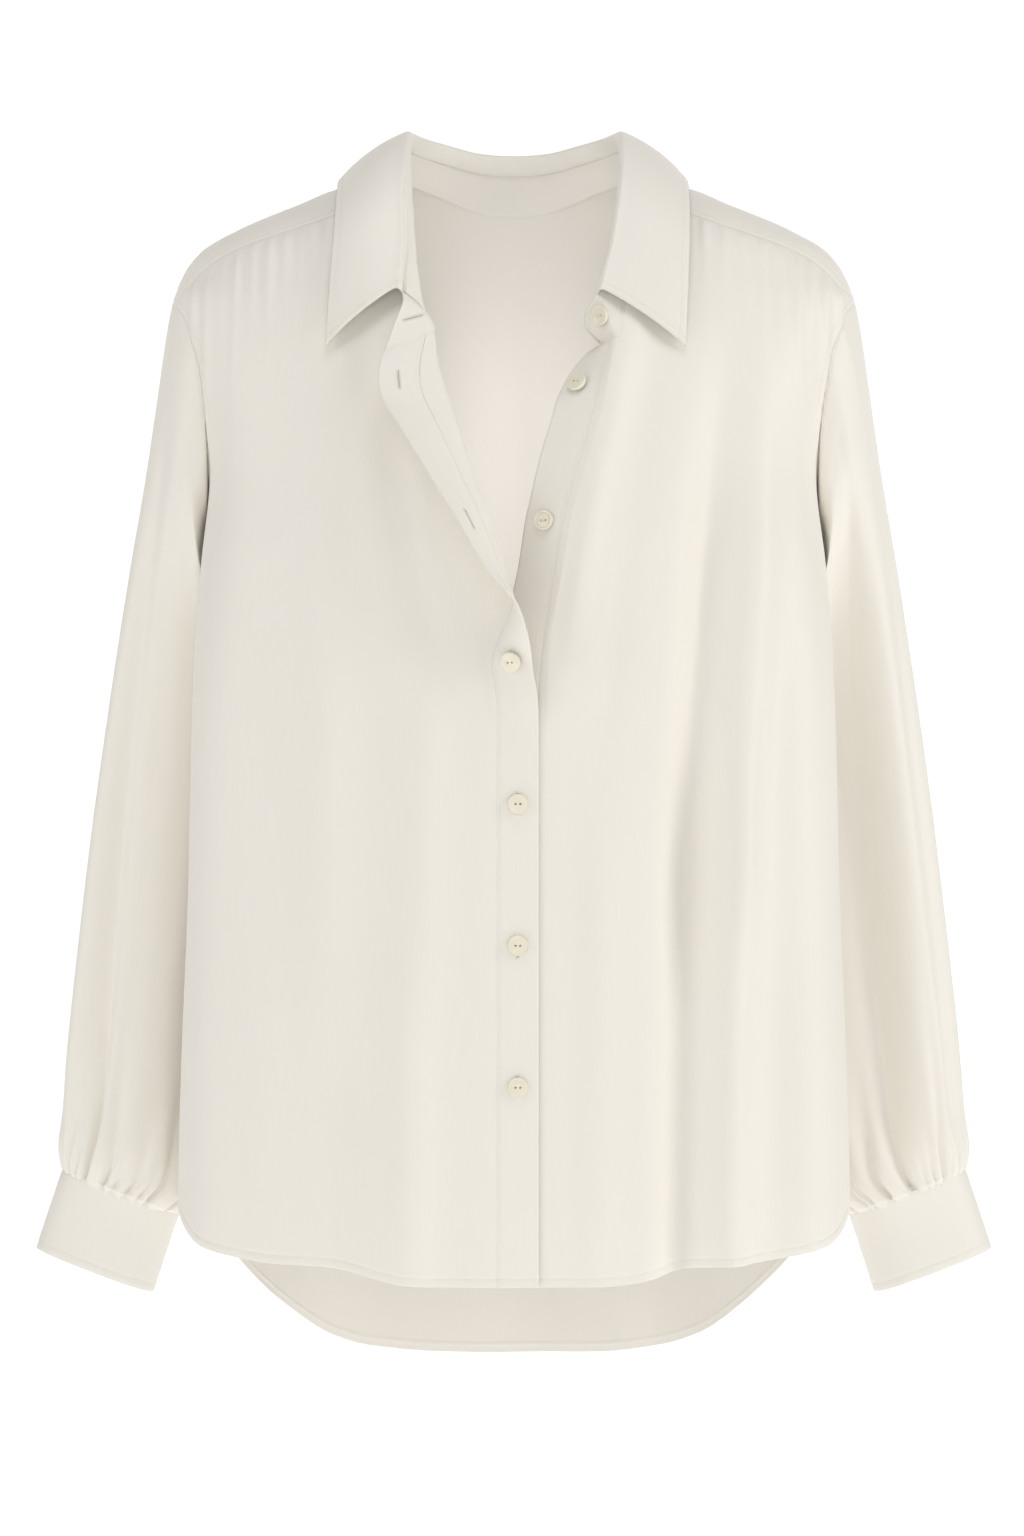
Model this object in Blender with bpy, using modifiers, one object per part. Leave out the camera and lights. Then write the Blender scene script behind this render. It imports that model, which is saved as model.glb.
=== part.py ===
"""A button-front silk blouse, filled out and hollow, built as named cloth pieces.

Sizes are in millimetres until a mesh is made, and MM turns them into metres.
+X is the viewer's right, -Y the front and +Z up. The origin lies between the
shoulders, at the height of the neck seam, because the shoulders carry it.
Right and left in the names are the wearer's: the right front, which carries
the buttonholes and laps over the other, is at -X.
"""
import math
from bisect import bisect_right
from collections import namedtuple

import bmesh
import bpy
from mathutils import Vector

# ---------------------------------------------------------------- dimensions
MM = 0.001
WALL = 1.2                  # single silk and what is folded behind it
BAND_WALL = 1.6             # two layers and an interlining
COLLAR_WALL = 1.6
CUFF_WALL = 1.6
SEAM_GAP = 0.3

ROUNDNESS = 2.4             # superellipse exponent of the body's level sections
SLEEVE_ROUNDNESS = 2.2

BAND_WIDTH = 25.0
BAND_LAP = 2.3              # the buttonhole band runs this far in front of the other
LAP_START = 18.0            # the step is whole up to here and fades out over LAP_FADE
LAP_FADE = 45.0
TURN_RADIUS = 3.2           # roll of a front that is turned outwards
TURN_LEAN = 0.12            # share of the body's own turn that the cloth past the line keeps
CORNER_REACH = 0.06         # the band's top corner falls over this share of its length

CUFF_HEIGHT = 53.0
CUFF_HALF_WIDTH = 39.5
CUFF_HALF_DEPTH = 24.5
CUFF_LAP_ANGLE = 50.0
CUFF_LAP_LIFT = 2.2
CUFF_STEPS = 30

BUTTON_DIAMETER = 12.0
BUTTON_THICKNESS = 2.3
BUTTON_RIM = 1.5
BUTTON_GAP = 0.45
BUTTON_STEPS = 12

# Where a button stands on its band: height on the band, share of its width.
FASTENED_BUTTONS = (-288.5, -373.5, -457.5, -541.5)
OPEN_BUTTONS = ((-120.5, 0.58), (-204.5, 0.48))

# -------------------------------------------------------------- shape tables
# Level sections of the body: half width, depths in front of and behind centre.
Level = namedtuple("Level", "height half_width front back centre")
TORSO = [
    Level(17, 48, 18, 34, 0),
    Level(13, 68, 25, 45, 0),
    Level(6, 110, 37, 57, 0),
    Level(-3, 132, 46, 66, 0),
    Level(-19, 170, 60, 76, 0),
    Level(-34, 195, 70, 84, 0),
    Level(-50, 206, 79, 90, 0),
    Level(-65, 211, 86, 94, -1),
    Level(-97, 204.5, 96, 99, -5),
    Level(-134, 194, 103, 103, -9),
    Level(-179, 185.5, 109, 106, -13),
    Level(-229, 189.5, 113, 107, -15),
    Level(-310, 194.5, 117, 107, -15),
    Level(-434, 199, 120, 110, -15),
    Level(-524, 203.5, 123, 115, -15),
    Level(-640, 206.5, 126, 120, -15),
    Level(-740, 207, 126, 122, -15),
]

# The armhole. Turn runs from its top (0) to the underarm (180). The angles go
# round the body from the front centre (0) past the side (90) to the back (180).
ArmholeRow = namedtuple("ArmholeRow", "turn height front_angle back_angle")
ARMHOLE = [
    ArmholeRow(0, -62.0, 90.0, 90.0),
    ArmholeRow(15, -64.7, 84.0, 96.0),
    ArmholeRow(30, -72.6, 75.5, 103.0),
    ArmholeRow(45, -85.1, 71.8, 109.0),
    ArmholeRow(60, -101.5, 70.8, 113.5),
    ArmholeRow(90, -141.0, 76.0, 119.5),
    ArmholeRow(120, -180.5, 90.0, 120.0),
    ArmholeRow(150, -209.4, 101.0, 116.0),
    ArmholeRow(180, -220.0, 109.0, 109.0),
]
SHOULDER_SEAM_TURN = -9.0      # where the forward shoulder seam meets the armhole

SideRow = namedtuple("SideRow", "height angle")
SIDE_SEAM = [SideRow(-220, 109), SideRow(-310, 105), SideRow(-434, 101), SideRow(-622, 96)]
HEM_SIDE = -622.0
HEM_MIDDLE = -690.0             # a height between the back hem's highest and lowest point

# The forward shoulder seam on the front, from the neck out to the armhole.
SeamRow = namedtuple("SeamRow", "side height")
SHOULDER_SEAM = [
    SeamRow(88, -4), SeamRow(109, -13.5), SeamRow(138, -23.5),
    SeamRow(163, -32), SeamRow(178, -38.5), SeamRow(190, -46.5), SeamRow(200, -56),
]

HemRow = namedtuple("HemRow", "side height")
FRONT_HEM = [
    HemRow(0, -660), HemRow(49, -660), HemRow(70, -658.5), HemRow(85, -655.5),
    HemRow(101, -651.5), HemRow(117, -649.5), HemRow(144, -648.5), HemRow(164, -646),
    HemRow(185, -640), HemRow(199, -632), HemRow(207, -622),
]
BACK_HEM = [
    HemRow(0, -726), HemRow(50, -725.5), HemRow(92, -721), HemRow(117, -713),
    HemRow(146, -692), HemRow(165, -673), HemRow(179, -656), HemRow(193, -640),
    HemRow(207, -622),
]

# A front past its turn line: where the turn starts, how far it turns outwards
# (degrees) and the cloth's way from there to the band's seam.
TurnRow = namedtuple("TurnRow", "height side turn reach")
RIGHT_TURN = [
    TurnRow(-700, -17.2, 0, 7), TurnRow(-330, -17.2, 0, 7), TurnRow(-311, -17.6, 8, 7),
    TurnRow(-291, -19.7, 18, 7), TurnRow(-272, -15.6, 52, 8), TurnRow(-262, -10.5, 72, 9),
    TurnRow(-252, -4.6, 92, 10), TurnRow(-236, -8.8, 108, 13), TurnRow(-204, -18.2, 125, 15),
    TurnRow(-176, -28.2, 138, 17), TurnRow(-143, -38.2, 154, 21), TurnRow(-128, -43.2, 163, 22),
    TurnRow(-108, -48.8, 168, 18), TurnRow(-86, -51.5, 171, 11),
]
LEFT_TURN = [
    TurnRow(-700, -19.0, 0, 6), TurnRow(-340, -19.0, 0, 6), TurnRow(-300, -20.5, -8, 6),
    TurnRow(-257, -25.6, -24, 6), TurnRow(-228, -30.6, -27, 6), TurnRow(-204, -34.6, -25, 6),
    TurnRow(-188, -38.8, -22, 6), TurnRow(-164, -45.4, -16, 6), TurnRow(-137, -53.0, -15, 6),
    TurnRow(-112, -58.0, -35, 6), TurnRow(-94, -61.5, -58, 6),
]
RIGHT_TOP_DROP = -15.0          # the neck seam falls this much on to the band's corner
LEFT_TOP_DROP = -8.0

# Neck seam in plan, from the back centre round to the front.
PlanRow = namedtuple("PlanRow", "side depth")
NECK_PLAN = [
    PlanRow(0, 66), PlanRow(22, 63.5), PlanRow(42, 54), PlanRow(58, 37),
    PlanRow(68, 14), PlanRow(71, -15), PlanRow(70, -46), PlanRow(67, -67), PlanRow(62, -83),
]
NECK_SEAM_START = 5.45          # row of NECK_PLAN where the shoulder seam begins
RIGHT_NECK_SPREAD = 6.0         # the seam lies this much further out at its front end
LEFT_NECK_SPREAD = 7.0

# Collar: the fold line where the stand meets the leaf, and the leaf's edge.
CollarRow = namedtuple("CollarRow", "fold_x fold_y fold_z edge_x edge_y edge_z")
COLLAR_BACK = [
    CollarRow(0, 61, 30, 0, 80, -15),
    CollarRow(21, 58.5, 31.3, 33, 78, -13),
    CollarRow(40, 50, 35.3, 63, 71, -6),
    CollarRow(55, 36, 38.2, 90, 54, 3),
    CollarRow(62.5, 16, 39, 106, 22, 11),
]
COLLAR_RIGHT = [
    CollarRow(64.5, -8, 36, 108.5, -8, 11.5),
    CollarRow(65.3, -34, 19, 108.8, -39, 0),
    CollarRow(65.6, -57, -6, 109.5, -65, -24),
    CollarRow(64.8, -75, -36, 111.5, -83, -58),
    CollarRow(67.5, -92, -66, 113.7, -97, -97.6),
]
COLLAR_LEFT = [
    CollarRow(65.5, -8, 36, 107.5, -8, 11.5),
    CollarRow(66.2, -34, 19, 107.5, -39, 0),
    CollarRow(64.0, -57, -6, 107.0, -65, -24),
    CollarRow(59.0, -75, -36, 105.5, -83, -58),
    CollarRow(51.7, -92, -66, 103.5, -98, -98),
]

# Sleeve rings from the armhole to the cuff: the outer and the inner end of each
# ring, and its half depth from front to back.
RingRow = namedtuple("RingRow", "outer_x outer_y outer_z inner_x inner_y inner_z depth keep")
SLEEVE = [
    RingRow(212.5, 2, -69, 184.5, 30, -222.5, 50, 0.92),
    RingRow(215.7, 6, -86, 188.0, 33, -229, 53, 0.7),
    RingRow(221.0, 13, -120, 189.5, 40, -242, 55, 0.45),
    RingRow(229.7, 26, -172, 182.0, 59, -265, 52, 0.2),
    RingRow(240.8, 38, -232, 172.0, 75, -300, 46, 0.06),
    RingRow(253.2, 48, -308, 165.0, 85, -350, 41, 0),
    RingRow(263.5, 53, -380, 166.0, 88, -407, 38.5, 0),
    RingRow(272.2, 54, -452, 170.0, 86, -474, 37, 0),
    RingRow(279.7, 54, -520, 178.0, 81, -543, 36, 0),
    RingRow(283.0, 54, -557, 183.0, 77, -582, 35, 0),
    RingRow(284.3, 54, -577, 188.0, 72, -604, 33.5, 0),
    RingRow(284.9, 54, -592, 196.0, 65, -620, 30, 0),
    RingRow(284.3, 54, -603.2, 210.3, 55, -631.4, 25, 0),
]
CUFF_GATHERS = 16

# Soft folds: a ridge (rise > 0) or a trough that runs down between two places and
# fades out past both over FOLD_END of its length.
FOLD_END = 0.2
Fold = namedtuple("Fold", "top_x top_z low_x low_z width rise")
RIGHT_FRONT_FOLDS = [
    Fold(-168, -110, -148, -655, 18, 5.0),
    Fold(-114, -190, -112, -470, 14, 3.6),
    Fold(-92, -90, -44, -300, 14, -4.4),
    Fold(-50, -300, -62, -670, 20, 4.0),
    Fold(-66, -470, -62, -680, 13, 3.0),
    Fold(-106, -520, -104, -690, 16, -3.5),
    Fold(-182, -230, -184, -680, 13, 5.0),
]
LEFT_FRONT_FOLDS = [
    Fold(70, -70, 22, -300, 12, 6.0),
    Fold(128, -110, 100, -420, 13, -5.0),
    Fold(154, -110, 126, -420, 13, 4.0),
    Fold(88, -440, 80, -760, 23, -8.0),
    Fold(103, -440, 96, -760, 11, -5.5),
    Fold(125, -440, 118, -760, 12, 8.5),
    Fold(150, -440, 142, -760, 28, 8.0),
    Fold(54, -380, 46, -670, 18, 3.0),
    Fold(172, -60, 164, -420, 12, 2.6),
    Fold(183, -230, 185, -680, 13, 5.0),
]
BACK_FOLDS = [
    Fold(-150, -70, -152, -690, 17, 4.5), Fold(-112, -90, -104, -715, 16, -4.2),
    Fold(-70, -60, -64, -730, 17, 4.0), Fold(-28, -120, -22, -730, 15, -3.4),
    Fold(20, -80, 16, -730, 16, 3.6), Fold(62, -90, 70, -730, 16, -4.4),
    Fold(104, -70, 108, -715, 17, 4.6), Fold(146, -110, 150, -690, 16, -3.8),
]
# Gathers let in under the shoulder seam: place along it, length, rise.
Gather = namedtuple("Gather", "side length rise")
RIGHT_GATHERS = [
    Gather(-196, 62, 1.9), Gather(-186, 95, 2.4), Gather(-177, 60, 1.7), Gather(-168, 84, 2.1),
    Gather(-158, 52, 1.6), Gather(-148, 66, 1.8), Gather(-139, 44, 1.4), Gather(-129, 56, 1.5),
    Gather(-119, 40, 1.2), Gather(-110, 46, 1.2),
]
LEFT_GATHERS = [
    Gather(198, 70, 2.2), Gather(190, 88, 2.4), Gather(182, 56, 1.8), Gather(173, 48, 1.5),
    Gather(163, 40, 1.2), Gather(151, 46, 1.3), Gather(140, 38, 1.1), Gather(128, 42, 1.2),
    Gather(117, 36, 1.1),
]
GATHER_WIDTH = 2.6
SEAM_FADE = 35.0                # folds start this gradually below the shoulder seam

# Finish of each kind of piece: sRGB colour, roughness.
Finish = namedtuple("Finish", "name colour roughness")
SILK = Finish("ivory_silk", (0.93, 0.91, 0.88), 0.42)
SHELL = Finish("cream_button", (0.90, 0.87, 0.78), 0.28)


# ------------------------------------------------------------------- curves
class Smooth:
    """A monotone cubic through one column of a table, against another."""

    def __init__(self, rows, key, value):
        pairs = sorted((getattr(row, key), getattr(row, value)) for row in rows)
        self.x = [pair[0] for pair in pairs]
        self.y = [pair[1] for pair in pairs]
        steps = [(self.y[i + 1] - self.y[i]) / (self.x[i + 1] - self.x[i])
                 for i in range(len(self.x) - 1)]
        slopes = [steps[0]]
        for before, after in zip(steps, steps[1:]):
            rising = before * after > 0
            slopes.append(2 * before * after / (before + after) if rising else 0.0)
        slopes.append(steps[-1])
        self.slopes = slopes

    def __call__(self, x):
        x = min(max(x, self.x[0]), self.x[-1])
        i = min(max(bisect_right(self.x, x) - 1, 0), len(self.x) - 2)
        span = self.x[i + 1] - self.x[i]
        t = (x - self.x[i]) / span
        start = (1 + 2 * t) * (1 - t) ** 2
        end = t * t * (3 - 2 * t)
        lean_in = t * (1 - t) ** 2 * span
        lean_out = t * t * (t - 1) * span
        return (start * self.y[i] + end * self.y[i + 1]
                + lean_in * self.slopes[i] + lean_out * self.slopes[i + 1])


def ease(t):
    t = min(max(t, 0.0), 1.0)
    return t * t * (3 - 2 * t)


def mix(a, b, t):
    return a + (b - a) * t


def along(points, t):
    """A Catmull-Rom reading of a list of vectors, t counted in rows."""
    t = min(max(t, 0.0), len(points) - 1.0)
    i = min(int(t), len(points) - 2)
    t -= i
    p1, p2 = points[i], points[i + 1]
    p0 = points[i - 1] if i > 0 else 2 * p1 - p2
    p3 = points[i + 2] if i + 2 < len(points) else 2 * p2 - p1
    return 0.5 * (2 * p1 + (p2 - p0) * t + (2 * p0 - 5 * p1 + 4 * p2 - p3) * t ** 2
                  + (3 * (p1 - p2) + p3 - p0) * t ** 3)


half_width = Smooth(TORSO, "height", "half_width")
front_depth = Smooth(TORSO, "height", "front")
back_depth = Smooth(TORSO, "height", "back")
centre_depth = Smooth(TORSO, "height", "centre")
side_seam = Smooth(SIDE_SEAM, "height", "angle")
armhole_height = Smooth(ARMHOLE, "turn", "height")
armhole_front = Smooth(ARMHOLE, "turn", "front_angle")
armhole_back = Smooth(ARMHOLE, "turn", "back_angle")


# ------------------------------------------------------------- body surface
def signed_power(value, power):
    return math.copysign(abs(value) ** power, value)


def body(angle, height):
    """The body's outer surface before any fold."""
    power = 2 / ROUNDNESS
    turn = math.radians(angle)
    depth = front_depth(height) if math.cos(turn) > 0 else back_depth(height)
    return Vector((half_width(height) * signed_power(math.sin(turn), power),
                   centre_depth(height) - depth * signed_power(math.cos(turn), power),
                   height))


def body_normal(angle, height):
    around = body(angle + 0.5, height) - body(angle - 0.5, height)
    down = body(angle, height - 0.5) - body(angle, height + 0.5)
    normal = down.cross(around)
    return normal.normalized()


def angle_at(side, height):
    """Angle on the front of the place that lies `side` from the centre."""
    share = min(abs(side) / half_width(height), 1.0)
    return math.copysign(math.degrees(math.asin(share ** (ROUNDNESS / 2))), side)


# Past this angle the way round is counted evenly by angle.
EVEN_FROM = 60.0
EVEN_SHARE = math.sin(math.radians(EVEN_FROM)) ** (2 / ROUNDNESS)
EVEN_STEP = EVEN_SHARE * 2 / ROUNDNESS / math.tan(math.radians(EVEN_FROM)) * math.pi / 180


def to_girth(place):
    """Turns an angle and a height into millimetres round the front and a height."""
    angle, height = place
    size = abs(angle)
    if size < EVEN_FROM:
        share = math.sin(math.radians(size)) ** (2 / ROUNDNESS)
    else:
        share = EVEN_SHARE + EVEN_STEP * (size - EVEN_FROM)
    return Vector((math.copysign(share, angle) * half_width(height), height))


def from_girth(place):
    share = abs(place.x) / half_width(place.y)
    if share < EVEN_SHARE:
        angle = math.degrees(math.asin(share ** (ROUNDNESS / 2)))
    else:
        angle = EVEN_FROM + (share - EVEN_SHARE) / EVEN_STEP
    return Vector((math.copysign(angle, place.x), place.y))


def plan_place(side, depth):
    """Angle and height of the surface point that has this place in plan."""
    low, high = -150.0, 17.0
    for _ in range(40):
        height = (low + high) / 2
        offset = depth - centre_depth(height)
        reach = front_depth(height) if offset < 0 else back_depth(height)
        outside = (abs(side / half_width(height)) ** ROUNDNESS
                   + abs(offset / reach) ** ROUNDNESS) > 1
        if outside:
            high = height
        else:
            low = height
    power = ROUNDNESS / 2
    across = abs(side / half_width(low)) ** power
    forward = abs(offset / reach) ** power
    angle = math.degrees(math.atan2(across, math.copysign(forward, -offset)))
    return Vector((angle, low))


def fold_rise(folds, side, height):
    """Sum of the soft ridges and troughs at one place of the front view."""
    total = 0.0
    for fold in folds:
        t = (fold.top_z - height) / (fold.top_z - fold.low_z)
        if -FOLD_END < t < 1 + FOLD_END:
            off = (side - mix(fold.top_x, fold.low_x, t)) / fold.width
            ends = ease((t + FOLD_END) / (2 * FOLD_END)) * ease((1 + FOLD_END - t) / (2 * FOLD_END))
            total += fold.rise * ends * math.exp(-off * off)
    return total


NECK_SUBSTEPS = 4


def neck_places(spread):
    """The neck seam as angles (of the -X half) and heights, NECK_SUBSTEPS to a row."""
    plan = [Vector((row.side, row.depth)) for row in NECK_PLAN]
    places = []
    for step in range((len(plan) - 1) * NECK_SUBSTEPS + 1):
        row = step / NECK_SUBSTEPS
        side, depth = along(plan, row)
        found = plan_place(side + spread * ease((row - NECK_SEAM_START) / 2), depth)
        places.append(Vector((-found.x, found.y)))
    return places


def neck_place(row, places=None):
    return along(places or NECK, row * NECK_SUBSTEPS)


NECK = neck_places(0.0)
SEAM_START = neck_place(NECK_SEAM_START)
SEAM_END = Vector((-armhole_front(-SHOULDER_SEAM_TURN), armhole_height(-SHOULDER_SEAM_TURN)))
SEAM_INNER = abs(body(*SEAM_START).x)
SEAM_OUTER = abs(body(*SEAM_END).x)
SEAM_ROWS = ([SeamRow(SEAM_INNER, SEAM_START.y)] + SHOULDER_SEAM
             + [SeamRow(SEAM_OUTER, SEAM_END.y)])
shoulder_seam = Smooth(SEAM_ROWS, "side", "height")
front_hem = Smooth(FRONT_HEM, "side", "height")
back_hem = Smooth(BACK_HEM, "side", "height")


def seam_place(side):
    """Angle (as on the -X half) and height of the shoulder seam."""
    height = shoulder_seam(side)
    return Vector((angle_at(-side, height), height))


def gather_rise(gathers, side, height):
    total = 0.0
    for gather in gathers:
        off = (side - gather.side) / GATHER_WIDTH
        if abs(off) < 3:
            below = (shoulder_seam(abs(side)) - height) / gather.length
            fade = ease(0.12 + below / 0.16) * math.exp(-2.2 * max(below, 0.0) ** 1.3)
            total += gather.rise * fade * math.exp(-off * off)
    return total


# ------------------------------------------------------------ sheets of cloth
def sheet_mesh(name, rows, flip=False, halved=False):
    """A sheet from rows of (share, point); rows may hold unlike numbers of points.

    Where one row runs on past the other's last share, no cloth is made there.

    Faces look forward where the rows run down and the points to +X; flip turns them.
    Halved sheets have the quads of their first half cut along the other diagonal.
    """
    verts = [point * MM for row in rows for _, point in row]
    faces = []
    first = 0
    for upper, lower in zip(rows, rows[1:]):
        second = first + len(upper)
        i = j = 0
        if len(upper) == len(lower):
            for i in range(len(upper) - 1):
                corners = (first + i, second + i, second + i + 1, first + i + 1)
                if halved and i < len(upper) // 2:
                    corners = corners[1:] + corners[:1]
                faces.append(corners)
        else:
            limit = min(upper[-1][0], lower[-1][0])
            while True:
                next_up = upper[i + 1][0] if i < len(upper) - 1 else math.inf
                next_low = lower[j + 1][0] if j < len(lower) - 1 else math.inf
                if min(next_up, next_low) > limit:
                    break
                if next_up < next_low:
                    faces.append((first + i, second + j, first + i + 1))
                    i += 1
                else:
                    faces.append((first + i, second + j, second + j + 1))
                    j += 1
        first = second
    if flip:
        faces = [face[:1] + face[:0:-1] for face in faces]
    mesh = bpy.data.meshes.new(name)
    mesh.from_pydata(verts, [], faces)
    return mesh


def ring_mesh(name, rings, flip=False):
    """A tube from closed rings that may hold unlike numbers of points."""
    closed = []
    for ring in rings:
        closed.append([(share, point) for share, point in ring] + [(1.0, ring[0][1])])
    mesh = sheet_mesh(name, closed, flip)
    shell = bmesh.new()
    shell.from_mesh(mesh)
    bmesh.ops.remove_doubles(shell, verts=shell.verts, dist=0.00001)
    shell.to_mesh(mesh)
    shell.free()
    return mesh


def material(finish):
    made = bpy.data.materials.get(finish.name)
    if made:
        return made
    made = bpy.data.materials.new(finish.name)
    made.use_nodes = True
    shader = made.node_tree.nodes["Principled BSDF"]
    linear = [((c + 0.055) / 1.055) ** 2.4 for c in finish.colour]
    shader.inputs["Base Color"].default_value = (*linear, 1.0)
    shader.inputs["Roughness"].default_value = finish.roughness
    shader.inputs["Metallic"].default_value = 0.0
    return made


def place(name, mesh, finish, parent, wall=0.0):
    """Puts a mesh in the blouse's collection; a wall is added inwards."""
    made = bpy.data.objects.new(name, mesh)
    blouse.objects.link(made)
    made.parent = parent
    mesh.materials.append(material(finish))
    mesh.shade_smooth()
    if wall:
        thick = made.modifiers.new("wall", "SOLIDIFY")
        thick.thickness = wall * MM
        thick.offset = -1.0
        thick.use_even_offset = False
        thick.use_quality_normals = False
    return made


# ------------------------------------------------------------------- fronts
FRONT_LEVELS = (0, 0.010, 0.022, 0.036, 0.052, 0.070, 0.090, 0.112, 0.135, 0.148, 0.163,
                0.180, 0.200, 0.222, 0.250, 0.28, 0.31, 0.34, 0.37, 0.40, 0.42, 0.44, 0.46,
                0.50, 0.56, 0.63, 0.71, 0.80, 0.90, 1)
NECK_LEVEL = 0.135              # rows above end at the neck seam, rows below at the turn line
UNDERARM_LEVEL = 0.28
FRONT_COLUMNS = 15
DENSE_ROWS = 6                  # rows with gathers, so with more columns
DENSE_COLUMNS = 30
TURN_STEPS = (0.25, 0.5, 0.75, 1.0)
BAND_STEPS = (0, 0.35, 0.7, 1.0)
UPPER_BOW_REACH = 0.30
LOWER_BOW_REACH = 0.60


def band_level(v):
    """A row's level counted from the band's top instead of the shoulder seam."""
    return (v - NECK_LEVEL) / (1 - NECK_LEVEL)


def neck_row(v):
    """The row of the neck table at which a front's row ends."""
    return mix(NECK_SEAM_START, len(NECK_PLAN), v / NECK_LEVEL)


class Front:
    """One front, worked out in mirrored sizes: its side is always at -X."""

    def __init__(self, turn_rows, top_drop, spread, folds, gathers, mirror, lap):
        self.neck = neck_places(spread)
        self.side = Smooth(turn_rows, "height", "side")
        self.turn = Smooth(turn_rows, "height", "turn")
        self.reach = Smooth(turn_rows, "height", "reach")
        self.top = turn_rows[-1].height
        self.top_drop = top_drop
        self.folds = folds
        self.gathers = gathers
        self.mirror = mirror
        self.lap = lap

    def finish(self, point):
        return Vector((-point.x, point.y, point.z)) if self.mirror else point

    def lifted(self, angle, height):
        """The front's surface with its folds, gathers and lap, unmirrored."""
        point = body(angle, height)
        true_side = -point.x if self.mirror else point.x
        rise = fold_rise(self.folds, true_side, height)
        side_fade = ease((abs(angle) - 4) / 8) * ease((112 - abs(angle)) / 14)
        seam_fade = ease((shoulder_seam(abs(point.x)) - height) / SEAM_FADE)
        rise = rise * side_fade * seam_fade + gather_rise(self.gathers, true_side, height)
        rise += self.lap * ease(1 - (abs(point.x) - LAP_START) / LAP_FADE)
        return point + body_normal(angle, height) * rise

    def edge_point(self, level, distance):
        """Past the turn line: a roll and then a straight run, on one level."""
        height = mix(self.top, FRONT_HEM[0].height, level)
        side = self.side(height)
        start = self.lifted(angle_at(side, height), height)
        turn = math.radians(self.turn(height))
        heading = math.radians(angle_at(side, height)) * TURN_LEAN
        if abs(turn) < 0.02:
            ahead, forward = distance, 0.0
        else:
            bend = math.copysign(TURN_RADIUS, turn)
            rolled = min(distance / TURN_RADIUS, abs(turn))
            rest = max(distance - TURN_RADIUS * abs(turn), 0.0)
            ahead = TURN_RADIUS * math.sin(rolled) + rest * math.cos(turn)
            forward = bend * (1 - math.cos(rolled)) + rest * math.sin(turn)
        whole = self.reach(height) + BAND_WIDTH
        drop = self.top_drop * (distance / whole) * math.exp(-level / CORNER_REACH)
        return start + Vector((ahead, -forward - ahead * heading, drop))

    def edges(self):
        """The panel's four edges as functions that give angle and height."""
        def upper(u):
            return seam_place(mix(SEAM_OUTER, SEAM_INNER, u))

        def lower(u):
            low = FRONT_HEM[0].height
            angle = mix(-side_seam(HEM_SIDE), angle_at(self.side(low), low), u)
            return Vector((angle, front_hem(abs(body(angle, low).x))))

        def outer(v):
            if v < UNDERARM_LEVEL:
                turn = mix(-SHOULDER_SEAM_TURN, 180, v / UNDERARM_LEVEL)
                return Vector((-armhole_front(turn), armhole_height(turn)))
            t = (v - UNDERARM_LEVEL) / (1 - UNDERARM_LEVEL)
            height = mix(armhole_height(180), HEM_SIDE, t)
            return Vector((-side_seam(height), height))

        def inner(v):
            if v < NECK_LEVEL:
                return self.neck_edge(neck_row(v))
            height = mix(self.top, FRONT_HEM[0].height, band_level(v))
            return Vector((angle_at(self.side(height), height), height))

        return upper, lower, outer, inner

    def neck_edge(self, row):
        last = len(NECK_PLAN) - 1
        if row < last:
            return neck_place(row, self.neck)
        turn_top = Vector((angle_at(self.side(self.top), self.top), self.top))
        return self.neck[-1].lerp(turn_top, row - last)

    def rows(self):
        edges = [lambda t, edge=edge: to_girth(edge(t)) for edge in self.edges()]
        made = []
        for index, v in enumerate(FRONT_LEVELS):
            columns = DENSE_COLUMNS if index < DENSE_ROWS else FRONT_COLUMNS
            row = []
            for column in range(columns + 1):
                u = column / columns
                point = self.lifted(*from_girth(between(*edges, u, v)))
                row.append((u, self.finish(point)))
            if v >= NECK_LEVEL:
                level = band_level(v)
                reach = self.reach(mix(self.top, FRONT_HEM[0].height, level))
                for step in TURN_STEPS:
                    row.append((1 + step, self.finish(self.edge_point(level, step * reach))))
            made.append(row)
        return made

    def band_rows(self):
        made = []
        for v in FRONT_LEVELS:
            if v < NECK_LEVEL:
                continue
            level = band_level(v)
            reach = self.reach(mix(self.top, FRONT_HEM[0].height, level)) + SEAM_GAP
            made.append([(step, self.finish(self.edge_point(level, reach + step * BAND_WIDTH)))
                         for step in BAND_STEPS])
        return made


def between(upper, lower, outer, inner, u, v):
    """A place between four edges: the bow of the upper and lower edge fades inwards.

    u runs from the outer to the inner edge, v from the upper to the lower one.
    """
    upper_bow = upper(u) - upper(0).lerp(upper(1), u)
    lower_bow = lower(u) - lower(0).lerp(lower(1), u)
    upper_share = max(1 - v / UPPER_BOW_REACH, 0) ** 2
    lower_share = max(1 - (1 - v) / LOWER_BOW_REACH, 0) ** 2
    return outer(v).lerp(inner(v), u) + upper_bow * upper_share + lower_bow * lower_share


# --------------------------------------------------------------------- back
BACK_LEVELS = (0, 0.010, 0.022, 0.034, 0.045, 0.054, 0.061, 0.067, 0.072, 0.080, 0.090, 0.102,
               0.118, 0.138, 0.163, 0.192, 0.226, 0.262, 0.30, 0.35, 0.41, 0.48, 0.56, 0.64, 0.72,
               0.80, 0.88, 0.94, 1)
BACK_COLUMNS = 30
BACK_SHOULDER_LEVEL = 0.072
BACK_UNDERARM_LEVEL = 0.30
SEAM_GAP_ANGLE = 0.33           # the same gap, in degrees round the body

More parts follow.
